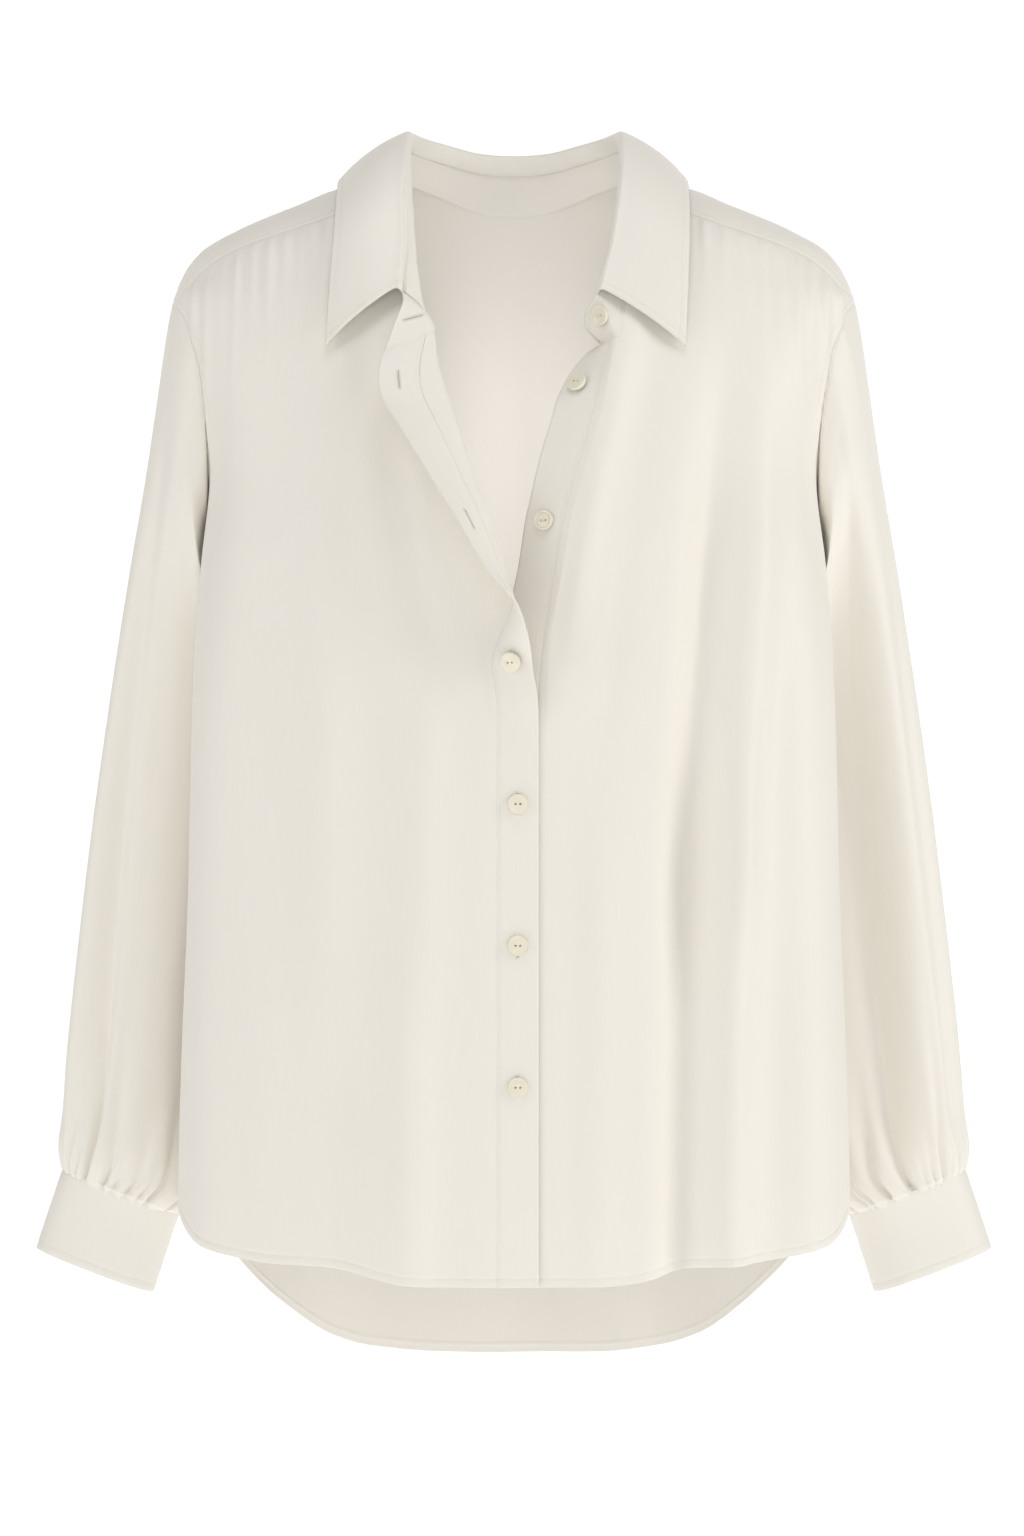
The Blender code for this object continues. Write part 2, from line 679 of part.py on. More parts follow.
# The back's threads cross the top of the shoulder square to it: rise by level.
BowRow = namedtuple("BowRow", "level rise")
RIDGE_BOW = [BowRow(0, 0), BowRow(0.012, 5), BowRow(0.024, 10), BowRow(0.048, 14),
             BowRow(0.072, 13), BowRow(0.084, 6), BowRow(0.098, 0), BowRow(1, 0)]
RIDGE_BOW_WIDTH = 24.0
ridge_bow = Smooth(RIDGE_BOW, "level", "rise")


def back_edge(v):
    """Outer edge of the back's -X half: shoulder seam, armhole, side seam."""
    if v < BACK_SHOULDER_LEVEL:
        share = v / BACK_SHOULDER_LEVEL
        found = seam_place(mix(SEAM_INNER, SEAM_OUTER, share))
        at_end = 1 + math.exp(-share / 0.04) + math.exp((share - 1) / 0.04)
        return Vector((found.x - SEAM_GAP_ANGLE * at_end, found.y + SEAM_GAP))
    if v < BACK_UNDERARM_LEVEL:
        share = (v - BACK_SHOULDER_LEVEL) / (BACK_UNDERARM_LEVEL - BACK_SHOULDER_LEVEL)
        turn = mix(SHOULDER_SEAM_TURN, 180, share)
        angle = armhole_back(turn) if turn > 0 else armhole_front(-turn) + SEAM_GAP_ANGLE
        return Vector((-angle, armhole_height(abs(turn))))
    t = (v - BACK_UNDERARM_LEVEL) / (1 - BACK_UNDERARM_LEVEL)
    height = mix(armhole_height(180), HEM_SIDE, t)
    return Vector((-side_seam(height) - SEAM_GAP_ANGLE, height))


def back_place(u, v):
    """Angle and height for u from -1 (the -X side) past 0 (the centre) to 1."""
    share = abs(u)

    def upper(t):
        return neck_place(NECK_SEAM_START * t)

    def lower(t):
        angle = mix(-180, -side_seam(HEM_SIDE) - SEAM_GAP_ANGLE, t)
        return Vector((angle, back_hem(abs(body(angle, HEM_MIDDLE).x))))

    def middle(t):
        return Vector((-180, mix(NECK[0].y, BACK_HEM[0].height, t)))

    found = between(upper, lower, middle, back_edge, share, v)
    off_ridge = (found.x + 90) / RIDGE_BOW_WIDTH
    found.y += ridge_bow(v) * math.exp(-off_ridge * off_ridge) * ease((1 - share) / 0.08)
    if u > 0:
        found.x = -360 - found.x
    return found


def back_lifted(angle, height):
    """The back's surface with its folds."""
    point = body(angle, height)
    past_side = min(abs(angle + 180), 180)
    fade = ease((78 - past_side) / 16)
    rise = fold_rise(BACK_FOLDS, point.x, height) * fade
    return point + body_normal(angle, height) * rise


def back_rows():
    made = []
    for v in BACK_LEVELS:
        row = []
        for column in range(BACK_COLUMNS + 1):
            u = -1 + 2 * column / BACK_COLUMNS
            row.append((u, back_lifted(*back_place(u, v))))
        made.append(row)
    return made


# ------------------------------------------------------------------- sleeves
SLEEVE_GAP = 0.7
ARMHOLE_HALF_DEPTH = 47.0
GATHERED_POINTS = 56
GATHERED_RINGS = 4
GATHER_RISES = (0.5, 1.3, 2.0, 2.0, 1.0)


def seam_turns():
    """Turns at which the two panels' rows end on the armhole, from 0 round to 360."""
    turns = []
    for level in BACK_LEVELS:
        if BACK_SHOULDER_LEVEL <= level <= BACK_UNDERARM_LEVEL:
            share = (level - BACK_SHOULDER_LEVEL) / (BACK_UNDERARM_LEVEL - BACK_SHOULDER_LEVEL)
            turns.append(mix(SHOULDER_SEAM_TURN, 180, share))
    for level in FRONT_LEVELS:
        if 0 < level < UNDERARM_LEVEL:
            turns.append(-mix(-SHOULDER_SEAM_TURN, 180, level / UNDERARM_LEVEL))
    return sorted(turn % 360 for turn in turns)


def ring_point(outer_end, inner_end, depth, turn):
    """Superellipse ring between two ends; turn 0 is outer, 180 inner, 90 back."""
    power = 2 / SLEEVE_ROUNDNESS
    angle = math.radians(turn)
    centre = (outer_end + inner_end) / 2
    half = (outer_end - inner_end) / 2
    back = Vector((0, depth, 0))
    return (centre + half * signed_power(math.cos(angle), power)
            + back * signed_power(math.sin(angle), power))


def armhole_point(front, turn):
    """Armhole on a front's side, in +X sizes; turn is counted past the back."""
    turn = (turn + 180) % 360 - 180
    height = armhole_height(abs(turn))
    if turn < SHOULDER_SEAM_TURN:
        point = front.finish(front.lifted(-armhole_front(-turn), height))
    else:
        angle = -armhole_back(turn) if turn > 0 else -armhole_front(-turn)
        point = back_lifted(-360 - angle if front.mirror else angle, height)
    return Vector((abs(point.x), point.y, point.z))


def sleeve_rings(front):
    """Rings of one sleeve, worked out at +X and mirrored for the right one."""
    side = 1 if front.mirror else -1
    top = armhole_point(front, 0)
    low = armhole_point(front, 180)
    seam = seam_turns()
    even = [360 * step / GATHERED_POINTS for step in range(GATHERED_POINTS)]
    rings = []
    for index, row in enumerate(SLEEVE):
        gathered = index + GATHERED_RINGS - len(SLEEVE)
        outer_end = Vector((row.outer_x, row.outer_y, row.outer_z))
        inner_end = Vector((row.inner_x, row.inner_y, row.inner_z))
        centre = (outer_end + inner_end) / 2
        ring = []
        for turn in (even if gathered >= 0 else seam):
            point = ring_point(outer_end, inner_end, row.depth, turn)
            edge = armhole_point(front, turn)
            point += (edge - ring_point(top, low, ARMHOLE_HALF_DEPTH, turn)) * row.keep
            if gathered >= 0:
                run = math.radians(turn)
                wave = math.cos(CUFF_GATHERS * run + 1.1 * math.sin(3 * run))
                outward = (point - centre).normalized()
                point += outward * GATHER_RISES[gathered] * (wave - 1) / 2
            ring.append((turn / 360, point))
        rings.append(ring)
    first = []
    for turn, (share, after) in zip(seam, rings[0]):
        edge = armhole_point(front, turn)
        first.append((share, edge + (after - edge).normalized() * SLEEVE_GAP))
    rings.insert(0, first)
    return [[(share, Vector((side * point.x, point.y, point.z))) for share, point in ring]
            for ring in rings]


# --------------------------------------------------------------------- cuffs
CUFF_START = 100.0              # turn at which the under layer starts; the lap lies behind
CUFF_LIFT_FROM = 320.0          # way round at which the upper layer starts to rise
CUFF_LIFT_RUN = 36.0
CUFF_GAP = 0.7
CUFF_DOWN = Vector((0.31, 0, -0.951)).normalized()


def cuff_frame():
    """Centre of the sleeve's end and the way across it."""
    row = SLEEVE[-1]
    outer_end = Vector((row.outer_x, row.outer_y, row.outer_z))
    inner_end = Vector((row.inner_x, row.inner_y, row.inner_z))
    centre = (outer_end + inner_end) / 2
    across = (outer_end - inner_end).normalized()
    return centre, across


def cuff_point(turn, drop, lift):
    centre, across = cuff_frame()
    power = 2 / SLEEVE_ROUNDNESS
    angle = math.radians(turn)
    return (centre + CUFF_DOWN * drop
            + across * (CUFF_HALF_WIDTH + lift) * signed_power(math.cos(angle), power)
            + Vector((0, 1, 0)) * (CUFF_HALF_DEPTH + lift) * signed_power(math.sin(angle), power))


def cuff_lift(run):
    """The lap's end rises clear of the layer under it."""
    return CUFF_LAP_LIFT * ease((run - CUFF_LIFT_FROM) / CUFF_LIFT_RUN)


def cuff_rows(side):
    whole = 360 + CUFF_LAP_ANGLE
    rows = []
    for drop in (CUFF_GAP, CUFF_HEIGHT / 2, CUFF_HEIGHT):
        row = []
        for step in range(CUFF_STEPS + 1):
            run = whole * step / CUFF_STEPS
            point = cuff_point(CUFF_START - run, drop, cuff_lift(run))
            row.append((step, Vector((side * point.x, point.y, point.z))))
        rows.append(row)
    return rows


# -------------------------------------------------------------------- collar
STAND_GAP = 1.0
LEAF_GAP = 1.5
LEAF_CREST = ((0.0, 0.0), (0.7, 1.8), (2.6, 2.9), (6.0, 2.2))      # outwards, upwards
LEAF_ACROSS = (0.5, 1.0)
LEAF_BULGE = 3.0
ROLLED_LEAF_SHIFT = 0.45            # outwards, for each millimetre of the stand's roll
COLLAR_SUBSTEPS = 3
STAND_BUTTON_FROM_END = 3.6     # columns of the stand from its end to its button
STAND_BUTTON_COLUMNS = 0.8      # the button's radius in columns
STAND_BUTTON_SHARE = 0.45
STAND_BUTTON_ROWS = 0.25        # the same radius as a share of the stand's height
STAND_MIDDLES = (0.65, 0.3)     # rows between the stand's foot and its head
# How far the stand rolls into the opening, by row of the neck seam.
RollRow = namedtuple("RollRow", "row right left")
STAND_ROLL = [RollRow(0, 0, 0), RollRow(5, 0, 0), RollRow(6, 2, 0.5), RollRow(7, 6, 1),
              RollRow(8, 6, 1), RollRow(9, 3, 0)]
right_roll = Smooth(STAND_ROLL, "row", "right")
left_roll = Smooth(STAND_ROLL, "row", "left")
RIGHT_STAND_TIP = Vector((-66.5, -99, -71))
LEFT_STAND_TIP = Vector((45.5, -96, -74))


def collar_line(prefix):
    """The fold or the edge, from the -X front end round the back to the +X end."""
    names = [prefix + axis for axis in ("_x", "_y", "_z")]
    right = [Vector([getattr(row, name) for name in names])
             for row in COLLAR_BACK[1:] + COLLAR_RIGHT]
    left = [Vector([getattr(row, name) for name in names]) for row in COLLAR_BACK + COLLAR_LEFT]
    return [Vector((-point.x, point.y, point.z)) for point in right[::-1]] + left


def neck_point(front, row):
    """The neck seam in space on a front's side; row 0 is at the back centre.

    Between the panel's own points the seam runs straight, as the panel's edge does.
    """
    if row < NECK_SEAM_START:
        step = NECK_SEAM_START * 2 / BACK_COLUMNS
        stops = [step * index for index in range(BACK_COLUMNS // 2 + 1)]
    else:
        stops = [neck_row(v) for v in FRONT_LEVELS if v <= NECK_LEVEL]

    def exact(stop):
        if row < NECK_SEAM_START:
            angle, height = neck_place(stop)
            return back_lifted(-360 - angle if front.mirror else angle, height)
        return front.finish(front.lifted(*front.neck_edge(stop)))

    after = min(bisect_right(stops, row), len(stops) - 1)
    before = after - 1
    share = (row - stops[before]) / (stops[after] - stops[before])
    return exact(stops[before]).lerp(exact(stops[after]), share)


def half_lines(front, fold, tip, roll):
    """Foot, middle and head of half the stand, from the back centre to the front end."""
    lines = []
    last = len(NECK_PLAN)
    inwards = Vector((-1 if front.mirror else 1, 0, 0))
    for step in range(last * COLLAR_SUBSTEPS + 1):
        row = step / COLLAR_SUBSTEPS
        lines.append((neck_point(front, row), along(fold, row), roll(row)))
    reach = front.reach(front.top)
    runs = [reach * share for share in TURN_STEPS]
    runs += [reach + BAND_WIDTH * share for share in BAND_STEPS[1:]]
    for run in runs:
        share = run / runs[-1]
        lines.append((front.finish(front.edge_point(0, run)), fold[last].lerp(tip, share),
                      roll(last) * (1 - share)))
    made = []
    for index, (foot, head, bulge) in enumerate(lines):
        after = lines[min(index + 1, len(lines) - 1)][0]
        seam = (after - lines[max(index - 1, 0)][0]).normalized()
        rise = head - foot
        foot = foot + (rise - seam * rise.dot(seam)).normalized() * STAND_GAP
        middles = [foot.lerp(head, share) + inwards * bulge for share in STAND_MIDDLES]
        made.append([head, *middles, foot])
    return made


def stand_lines(right_front, left_front):
    """Head, two middle rows and foot of the stand, column by column."""
    fold = collar_line("fold")
    middle = len(NECK_PLAN)
    right = half_lines(right_front, fold[middle::-1], RIGHT_STAND_TIP, right_roll)
    left = half_lines(left_front, fold[middle:], LEFT_STAND_TIP, left_roll)
    return right[:0:-1] + left


def stand_rows(right_front, left_front):
    columns = stand_lines(right_front, left_front)
    return [[(index, column[row]) for index, column in enumerate(columns)] for row in range(4)]


def leaf_rows():
    fold = collar_line("fold")
    edge = collar_line("edge")
    middle = len(NECK_PLAN)
    columns = (len(fold) - 1) * COLLAR_SUBSTEPS
    rows = [[] for _ in range(len(LEAF_CREST) + len(LEAF_ACROSS))]
    for column in range(columns + 1):
        t = column / COLLAR_SUBSTEPS
        top = along(fold, t)
        low = along(edge, t)
        ahead = (along(fold, t + 0.2) - along(fold, t - 0.2)).normalized()
        outward = Vector((low.x - top.x, low.y - top.y, 0))
        outward = (outward - ahead * outward.dot(ahead)).normalized()
        above = ahead.cross(outward)
        above = above if above.z > 0 else -above
        row = abs(t - middle)
        roll = right_roll(row) if t < middle else left_roll(row)
        start = top + outward * (ROLLED_LEAF_SHIFT * roll - COLLAR_WALL) + above * LEAF_GAP
        for index, (out, up) in enumerate(LEAF_CREST):
            rows[index].append((column, start + outward * out + above * up))
        crest = rows[len(LEAF_CREST) - 1][-1][1]
        run = low - crest
        normal = ahead.cross(run).normalized()
        for index, share in enumerate(LEAF_ACROSS):
            bulge = LEAF_BULGE * 4 * share * (1 - share)
            rows[len(LEAF_CREST) + index].append((column, crest + run * share + normal * bulge))
    return rows


# ------------------------------------------------------------------- buttons
def button_mesh():
    """A turned disc with a raised rim, its flat back at z = 0."""
    radius = BUTTON_DIAMETER / 2
    top = BUTTON_THICKNESS
    profile = ((0.0, top * 0.6), (radius - BUTTON_RIM - 0.5, top * 0.6), (radius - BUTTON_RIM, top),
               (radius - 0.5, top), (radius, top * 0.6), (radius - 0.6, 0.0), (0.0, 0.0))
    mesh = bpy.data.meshes.new("button")
    mesh.from_pydata([(x * MM, 0, z * MM) for x, z in profile],
                     [(i, i + 1) for i in range(len(profile) - 1)], [])
    return mesh


def add_button(name, centre, normal, parent):
    made = place(name, button_mesh(), SHELL, parent)
    turned = made.modifiers.new("turned", "SCREW")
    turned.steps = BUTTON_STEPS
    turned.render_steps = BUTTON_STEPS
    turned.use_merge_vertices = True
    turned.merge_threshold = 0.00002
    made.rotation_mode = "QUATERNION"
    made.rotation_quaternion = normal.to_track_quat("Z", "Y")
    made.location = (centre + normal * BUTTON_GAP) * MM
    return made


def seat(near):
    """Centre and forward normal of a button's seat, clear of the cloth's twist.

    near(across, down) gives the cloth's place, counted in button radii.
    """
    normal = (near(1, 0) - near(-1, 0)).cross(near(0, 1) - near(0, -1)).normalized()
    normal = normal if normal.y < 0 else -normal
    centre = near(0, 0)
    around = [near(math.cos(turn), math.sin(turn)) for turn in range(6)]
    lift = max((place_on - centre).dot(normal) for place_on in around)
    return centre + normal * max(lift, 0.0), normal


def band_seat(front, height, share):
    level = (height - front.top) / (FRONT_HEM[0].height - front.top)
    distance = front.reach(height) + BAND_WIDTH * share
    radius = BUTTON_DIAMETER / 2
    rise = radius / (front.top - FRONT_HEM[0].height)

    def near(across, down):
        return front.finish(front.edge_point(level + rise * down, distance + radius * across))

    return seat(near)


def cuff_seat(side):
    turn = CUFF_START - 360 - CUFF_LAP_ANGLE * 0.5
    drop = CUFF_HEIGHT * 0.5
    centre = cuff_point(turn, drop, CUFF_LAP_LIFT)
    around = cuff_point(turn + 1, drop, CUFF_LAP_LIFT) - centre
    normal = around.cross(CUFF_DOWN).normalized()
    if normal.dot(centre - cuff_frame()[0] - CUFF_DOWN * drop) < 0:
        normal = -normal
    return (Vector((side * centre.x, centre.y, centre.z)),
            Vector((side * normal.x, normal.y, normal.z)))


def stand_seat(right_front, left_front):
    columns = stand_lines(right_front, left_front)
    heads = [column[0] for column in columns]
    feet = [column[-1] for column in columns]
    middle = len(columns) - STAND_BUTTON_FROM_END

    def near(across, down):
        t = middle + across * STAND_BUTTON_COLUMNS
        return along(heads, t).lerp(along(feet, t), STAND_BUTTON_SHARE + down * STAND_BUTTON_ROWS)

    centre, normal = seat(near)
    return centre + normal * SEAM_GAP, normal


# ---------------------------------------------------------------------- part
def clear_scene():
    for old in list(bpy.data.objects):
        bpy.data.objects.remove(old, do_unlink=True)


def build():
    holder = bpy.data.objects.new("blouse", None)
    blouse.objects.link(holder)

    right_front = Front(RIGHT_TURN, RIGHT_TOP_DROP, RIGHT_NECK_SPREAD, RIGHT_FRONT_FOLDS,
                        RIGHT_GATHERS, False, BAND_LAP)
    left_front = Front(LEFT_TURN, LEFT_TOP_DROP, LEFT_NECK_SPREAD, LEFT_FRONT_FOLDS,
                       LEFT_GATHERS, True, 0.0)
    for name, band, front in (("front_right", "buttonhole_band", right_front),
                              ("front_left", "button_band", left_front)):
        place(name, sheet_mesh(name, front.rows(), front.mirror), SILK, holder, WALL)
        place(band, sheet_mesh(band, front.band_rows(), front.mirror), SILK, holder, BAND_WALL)
    place("back", sheet_mesh("back", back_rows(), True, True), SILK, holder, WALL)
    for name, side, front in (("right", -1, right_front), ("left", 1, left_front)):
        sleeve = ring_mesh("sleeve_" + name, sleeve_rings(front), side < 0)
        place("sleeve_" + name, sleeve, SILK, holder, WALL)
        cuff = sheet_mesh("cuff_" + name, cuff_rows(side), side > 0)
        place("cuff_" + name, cuff, SILK, holder, CUFF_WALL)
        add_button("cuff_button_" + name, *cuff_seat(side), holder)
    stand = sheet_mesh("collar_stand", stand_rows(right_front, left_front), True)
    place("collar_stand", stand, SILK, holder, COLLAR_WALL)
    place("collar_leaf", sheet_mesh("collar_leaf", leaf_rows(), True), SILK, holder, COLLAR_WALL)
    for index, height in enumerate(FASTENED_BUTTONS):
        seat = band_seat(right_front, height, 0.5)
        add_button("front_button_%d" % (index + 3), *seat, holder)
    for index, (height, share) in enumerate(OPEN_BUTTONS):
        add_button("front_button_%d" % (index + 1), *band_seat(left_front, height, share), holder)
    add_button("collar_button", *stand_seat(right_front, left_front), holder)


clear_scene()
blouse = bpy.data.collections.new("silk_blouse")
bpy.context.scene.collection.children.link(blouse)
build()
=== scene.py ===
import math
from collections import namedtuple

import bpy
import numpy as np
from mathutils import Matrix, Vector


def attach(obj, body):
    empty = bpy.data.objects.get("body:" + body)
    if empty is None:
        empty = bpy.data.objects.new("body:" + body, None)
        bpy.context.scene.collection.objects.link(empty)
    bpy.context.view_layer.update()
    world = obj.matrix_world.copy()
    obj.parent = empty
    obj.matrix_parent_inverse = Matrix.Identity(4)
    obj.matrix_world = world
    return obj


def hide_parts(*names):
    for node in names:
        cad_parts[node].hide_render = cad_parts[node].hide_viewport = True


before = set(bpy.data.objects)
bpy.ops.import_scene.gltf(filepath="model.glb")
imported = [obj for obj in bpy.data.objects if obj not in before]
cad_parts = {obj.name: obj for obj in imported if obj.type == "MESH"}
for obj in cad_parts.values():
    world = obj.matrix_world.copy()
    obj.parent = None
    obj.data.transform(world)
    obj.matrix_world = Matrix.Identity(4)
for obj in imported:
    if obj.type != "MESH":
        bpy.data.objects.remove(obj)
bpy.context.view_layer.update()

# ------------------------------------------------------------------------------------------
# The two fronts, of plain-woven crepe silk, gathered into the forward shoulder seams.
# Each hangs from its shoulder seam to a narrow stitched hem, and is turned outwards at the
# neck: the right one lies open like a lapel, the left one stands a little out of the neck.
MM = 0.001
SILK_WALL = 0.5


def rows_of(kind, *rows):
    """A table's rows as named tuples of one kind."""
    return [kind(*row) for row in rows]


Level = namedtuple("Level", "height half_width front back centre")
BODY_LEVELS = rows_of(      # half width, and depths to the front and back of each level's centre
    Level, (17, 48, 18, 34, 0), (13, 68, 25, 45, 0), (6, 110, 37, 57, 0), (-3, 132, 46, 66, 0),
    (-19, 170, 60, 76, 0), (-34, 195, 70, 84, 0), (-50, 206, 79, 90, 0), (-65, 211, 86, 94, -1),
    (-97, 204.5, 96, 99, -5), (-134, 194, 103, 103, -9), (-179, 185.5, 109, 106, -13),
    (-229, 189.5, 113, 107, -15), (-310, 194.5, 117, 107, -15), (-434, 199, 120, 110, -15),
    (-524, 203.5, 123, 115, -15), (-640, 206.5, 126, 120, -15), (-740, 207, 126, 122, -15))
ROUNDNESS = 2.4             # superellipse exponent of the level sections

ArmholeRow = namedtuple("ArmholeRow", "turn height front_angle back_angle")
ARMHOLE = rows_of(
    ArmholeRow, (0, -62.0, 90.0, 90.0), (15, -64.7, 84.0, 96.0), (30, -72.6, 75.5, 103.0),
    (45, -85.1, 71.8, 109.0), (60, -101.5, 70.8, 113.5), (90, -141.0, 76.0, 119.5),
    (120, -180.5, 90.0, 120.0), (150, -209.4, 101.0, 116.0), (180, -220.0, 109.0, 109.0))
SHOULDER_SEAM_TURN = -9.0
SideRow = namedtuple("SideRow", "height angle")
SIDE_SEAM = rows_of(SideRow, (-220, 109), (-310, 105), (-434, 101), (-622, 96))
HEM_SIDE = -622.0

SeamRow = namedtuple("SeamRow", "side height")
SHOULDER_SEAM = rows_of(
    SeamRow, (88, -4), (109, -13.5), (138, -23.5), (163, -32), (178, -38.5), (190, -46.5),
    (200, -56))
FRONT_HEM = rows_of(
    SeamRow, (0, -660), (49, -660), (70, -658.5), (85, -655.5), (101, -651.5), (117, -649.5),
    (144, -648.5), (164, -646), (185, -640), (199, -632), (207, -622))

# The line where each front's edge turns, from the hem up: its place to the side, its turn in
# degrees and how far the front's cloth reaches past it before the band begins.
TurnRow = namedtuple("TurnRow", "height side turn reach")
RIGHT_TURN = rows_of(
    TurnRow, (-700, -17.2, 0, 7), (-330, -17.2, 0, 7), (-311, -17.6, 8, 7), (-291, -19.7, 18, 7),
    (-272, -15.6, 52, 8), (-262, -10.5, 72, 9), (-252, -4.6, 92, 10), (-236, -8.8, 108, 13),
    (-204, -18.2, 125, 15), (-176, -28.2, 138, 17), (-143, -38.2, 154, 21), (-128, -43.2, 163, 22),
    (-108, -48.8, 168, 18), (-86, -51.5, 171, 11))
LEFT_TURN = rows_of(
    TurnRow, (-700, -19.0, 0, 6), (-340, -19.0, 0, 6), (-300, -20.5, -8, 6), (-257, -25.6, -24, 6),
    (-228, -30.6, -27, 6), (-204, -34.6, -25, 6), (-188, -38.8, -22, 6), (-164, -45.4, -16, 6),
    (-137, -53.0, -15, 6), (-112, -58.0, -35, 6), (-94, -61.5, -58, 6))
TURN_RADIUS = 3.2
CROSSING_HEIGHT = -280.0
CROSSING_SPREAD = 20.0
CROSSING_SOFTNESS = 9.0     # what the roll's radius gains where the fronts cross
TOP_DROPS = {"right": -15.0, "left": -8.0}
TOP_DROP_FADE = 0.06
EDGE_LEAN = math.radians(0.12)
NECK_SPREADS = {"right": 6.0, "left": 7.0}
BAND_WIDTH = 25.0
BAND_LAP = 2.3              # how far the right front is lifted over the left one
LAP_START = 18.0
LAP_FADE = 45.0

# The neck seam in plan, from the back centre round to the front.
PlanRow = namedtuple("PlanRow", "side depth")
NECK_PLAN = rows_of(
    PlanRow, (0, 66), (22, 63.5), (42, 54), (58, 37), (68, 14), (71, -15), (70, -46), (67, -67),
    (62, -83))
NECK_SEAM_START = 5.45
NECK_LAST = len(NECK_PLAN) - 1

# Soft folds: ridges (rise > 0) and troughs that run down between two places. The last rows of
# each table are slighter creases between them, as crepe silk hangs when it has been steamed.
Fold = namedtuple("Fold", "top_x top_z low_x low_z width rise")
RIGHT_FRONT_FOLDS = rows_of(
    Fold, (-168, -110, -148, -655, 18, 5.0), (-114, -190, -112, -470, 14, 3.6),
    (-92, -90, -44, -300, 14, -4.4), (-50, -300, -62, -670, 20, 4.0),
    (-66, -470, -62, -680, 13, 3.0), (-106, -520, -104, -690, 16, -3.5),
    (-178, -230, -180, -720, 16, 9.0), (-62, -120, -30, -260, 7, -0.9),
    (-136, -300, -134, -620, 9, -0.8), (-176, -110, -174, -560, 8, -0.8),
    (-30, -520, -29, -665, 7, 0.6))
LEFT_FRONT_FOLDS = rows_of(
    Fold, (70, -70, 22, -300, 12, 6.0), (128, -110, 100, -420, 13, -5.0),
    (154, -110, 126, -420, 13, 4.0), (122, -190, 106, -460, 13, -7.0),
    (147, -190, 132, -460, 14, 7.0), (106, -380, 98, -780, 12, -10.5),
    (131, -380, 124, -780, 13, 12.5), (158, -330, 150, -760, 16, -2.0),
    (54, -380, 46, -670, 18, 3.0), (172, -60, 164, -420, 12, 2.6), (178, -230, 180, -720, 16, 9.0),
    (60, -110, 22, -290, 6, -1.2), (88, -90, 52, -330, 9, -1.4), (114, -480, 108, -668, 7, -1.2),
    (180, -120, 178, -500, 8, -0.9), (76, -500, 78, -668, 8, 0.8), (30, -470, 33, -668, 7, -0.6))
Gather = namedtuple("Gather", "side length rise")
RIGHT_GATHERS = rows_of(
    Gather, (-196, 62, 3.0), (-187, 105, 3.8), (-178, 64, 2.8), (-169, 92, 3.4), (-159, 56, 2.6),
    (-149, 72, 3.0), (-139, 48, 2.3), (-129, 60, 2.5), (-119, 42, 2.0), (-109, 50, 2.0))
LEFT_GATHERS = rows_of(
    Gather, (199, 74, 3.4), (190, 98, 3.8), (181, 62, 3.0), (172, 84, 3.0), (162, 46, 2.2),
    (151, 56, 2.4), (140, 42, 1.9), (128, 48, 2.0), (116, 40, 1.8))
GATHER_WIDTH = 2.6
SEAM_FADE = 35.0
FRONT_FOLDS_END = 101.0     # folds fade out before this angle, where the side seam lies
DRIFT_RISE = 0.35           # height of the cloth's slow unevenness


def smooth(rows, key, value):
    """A monotone cubic through one column of a table, read against another."""
    x, y = np.array(sorted((getattr(row, key), getattr(row, value)) for row in rows), float).T
    steps = np.diff(y) / np.diff(x)
    rising = steps[:-1] * steps[1:] > 0
    total = np.where(rising, steps[:-1] + steps[1:], 1.0)
    inner = np.where(rising, 2 * steps[:-1] * steps[1:] / total, 0.0)
    slopes = np.concatenate((steps[:1], inner, steps[-1:]))

    def read(at):
        at = np.clip(at, x[0], x[-1])
        i = np.clip(np.searchsorted(x, at, side="right") - 1, 0, len(x) - 2)
        span = x[i + 1] - x[i]
        t = (at - x[i]) / span
        return ((1 + 2 * t) * (1 - t) ** 2 * y[i] + t * t * (3 - 2 * t) * y[i + 1]
                + t * (1 - t) ** 2 * span * slopes[i] + t * t * (t - 1) * span * slopes[i + 1])

    return read


def ease(t):
    t = np.clip(t, 0.0, 1.0)
    return t * t * (3 - 2 * t)


def mix(a, b, t):
    return a + (b - a) * t


def bump(off):
    return np.exp(-off * off)


def along(points, t):
    """A smooth line through a list of points, t counted in points."""
    points = np.asarray(points, float)
    ends = np.concatenate((2 * points[:1] - points[1:2], points, 2 * points[-1:] - points[-2:-1]))
    t = np.clip(np.asarray(t, float), 0, len(points) - 1.0)
    i = np.minimum(t.astype(int), len(points) - 2)
    t = (t - i).reshape(t.shape + (1,) * (points.ndim - 1))
    p0, p1, p2, p3 = ends[i], ends[i + 1], ends[i + 2], ends[i + 3]
    return 0.5 * (2 * p1 + (p2 - p0) * t + (2 * p0 - 5 * p1 + 4 * p2 - p3) * t ** 2
                  + (3 * (p1 - p2) + p3 - p0) * t ** 3)


def unit(vectors):
    return vectors / np.maximum(np.linalg.norm(vectors, axis=-1, keepdims=True), 1e-9)


def signed_power(value, power):
    return np.copysign(np.abs(value) ** power, value)


def pair(first, second):
    """Two arrays side by side, such as the angles and heights of places on the body."""
    return np.stack((first, second), -1)


half_width, front_depth, back_depth, centre_depth = (
    smooth(BODY_LEVELS, "height", column) for column in ("half_width", "front", "back", "centre"))
armhole_height, armhole_front, armhole_back = (
    smooth(ARMHOLE, "turn", column) for column in ("height", "front_angle", "back_angle"))
side_seam = smooth(SIDE_SEAM, "height", "angle")


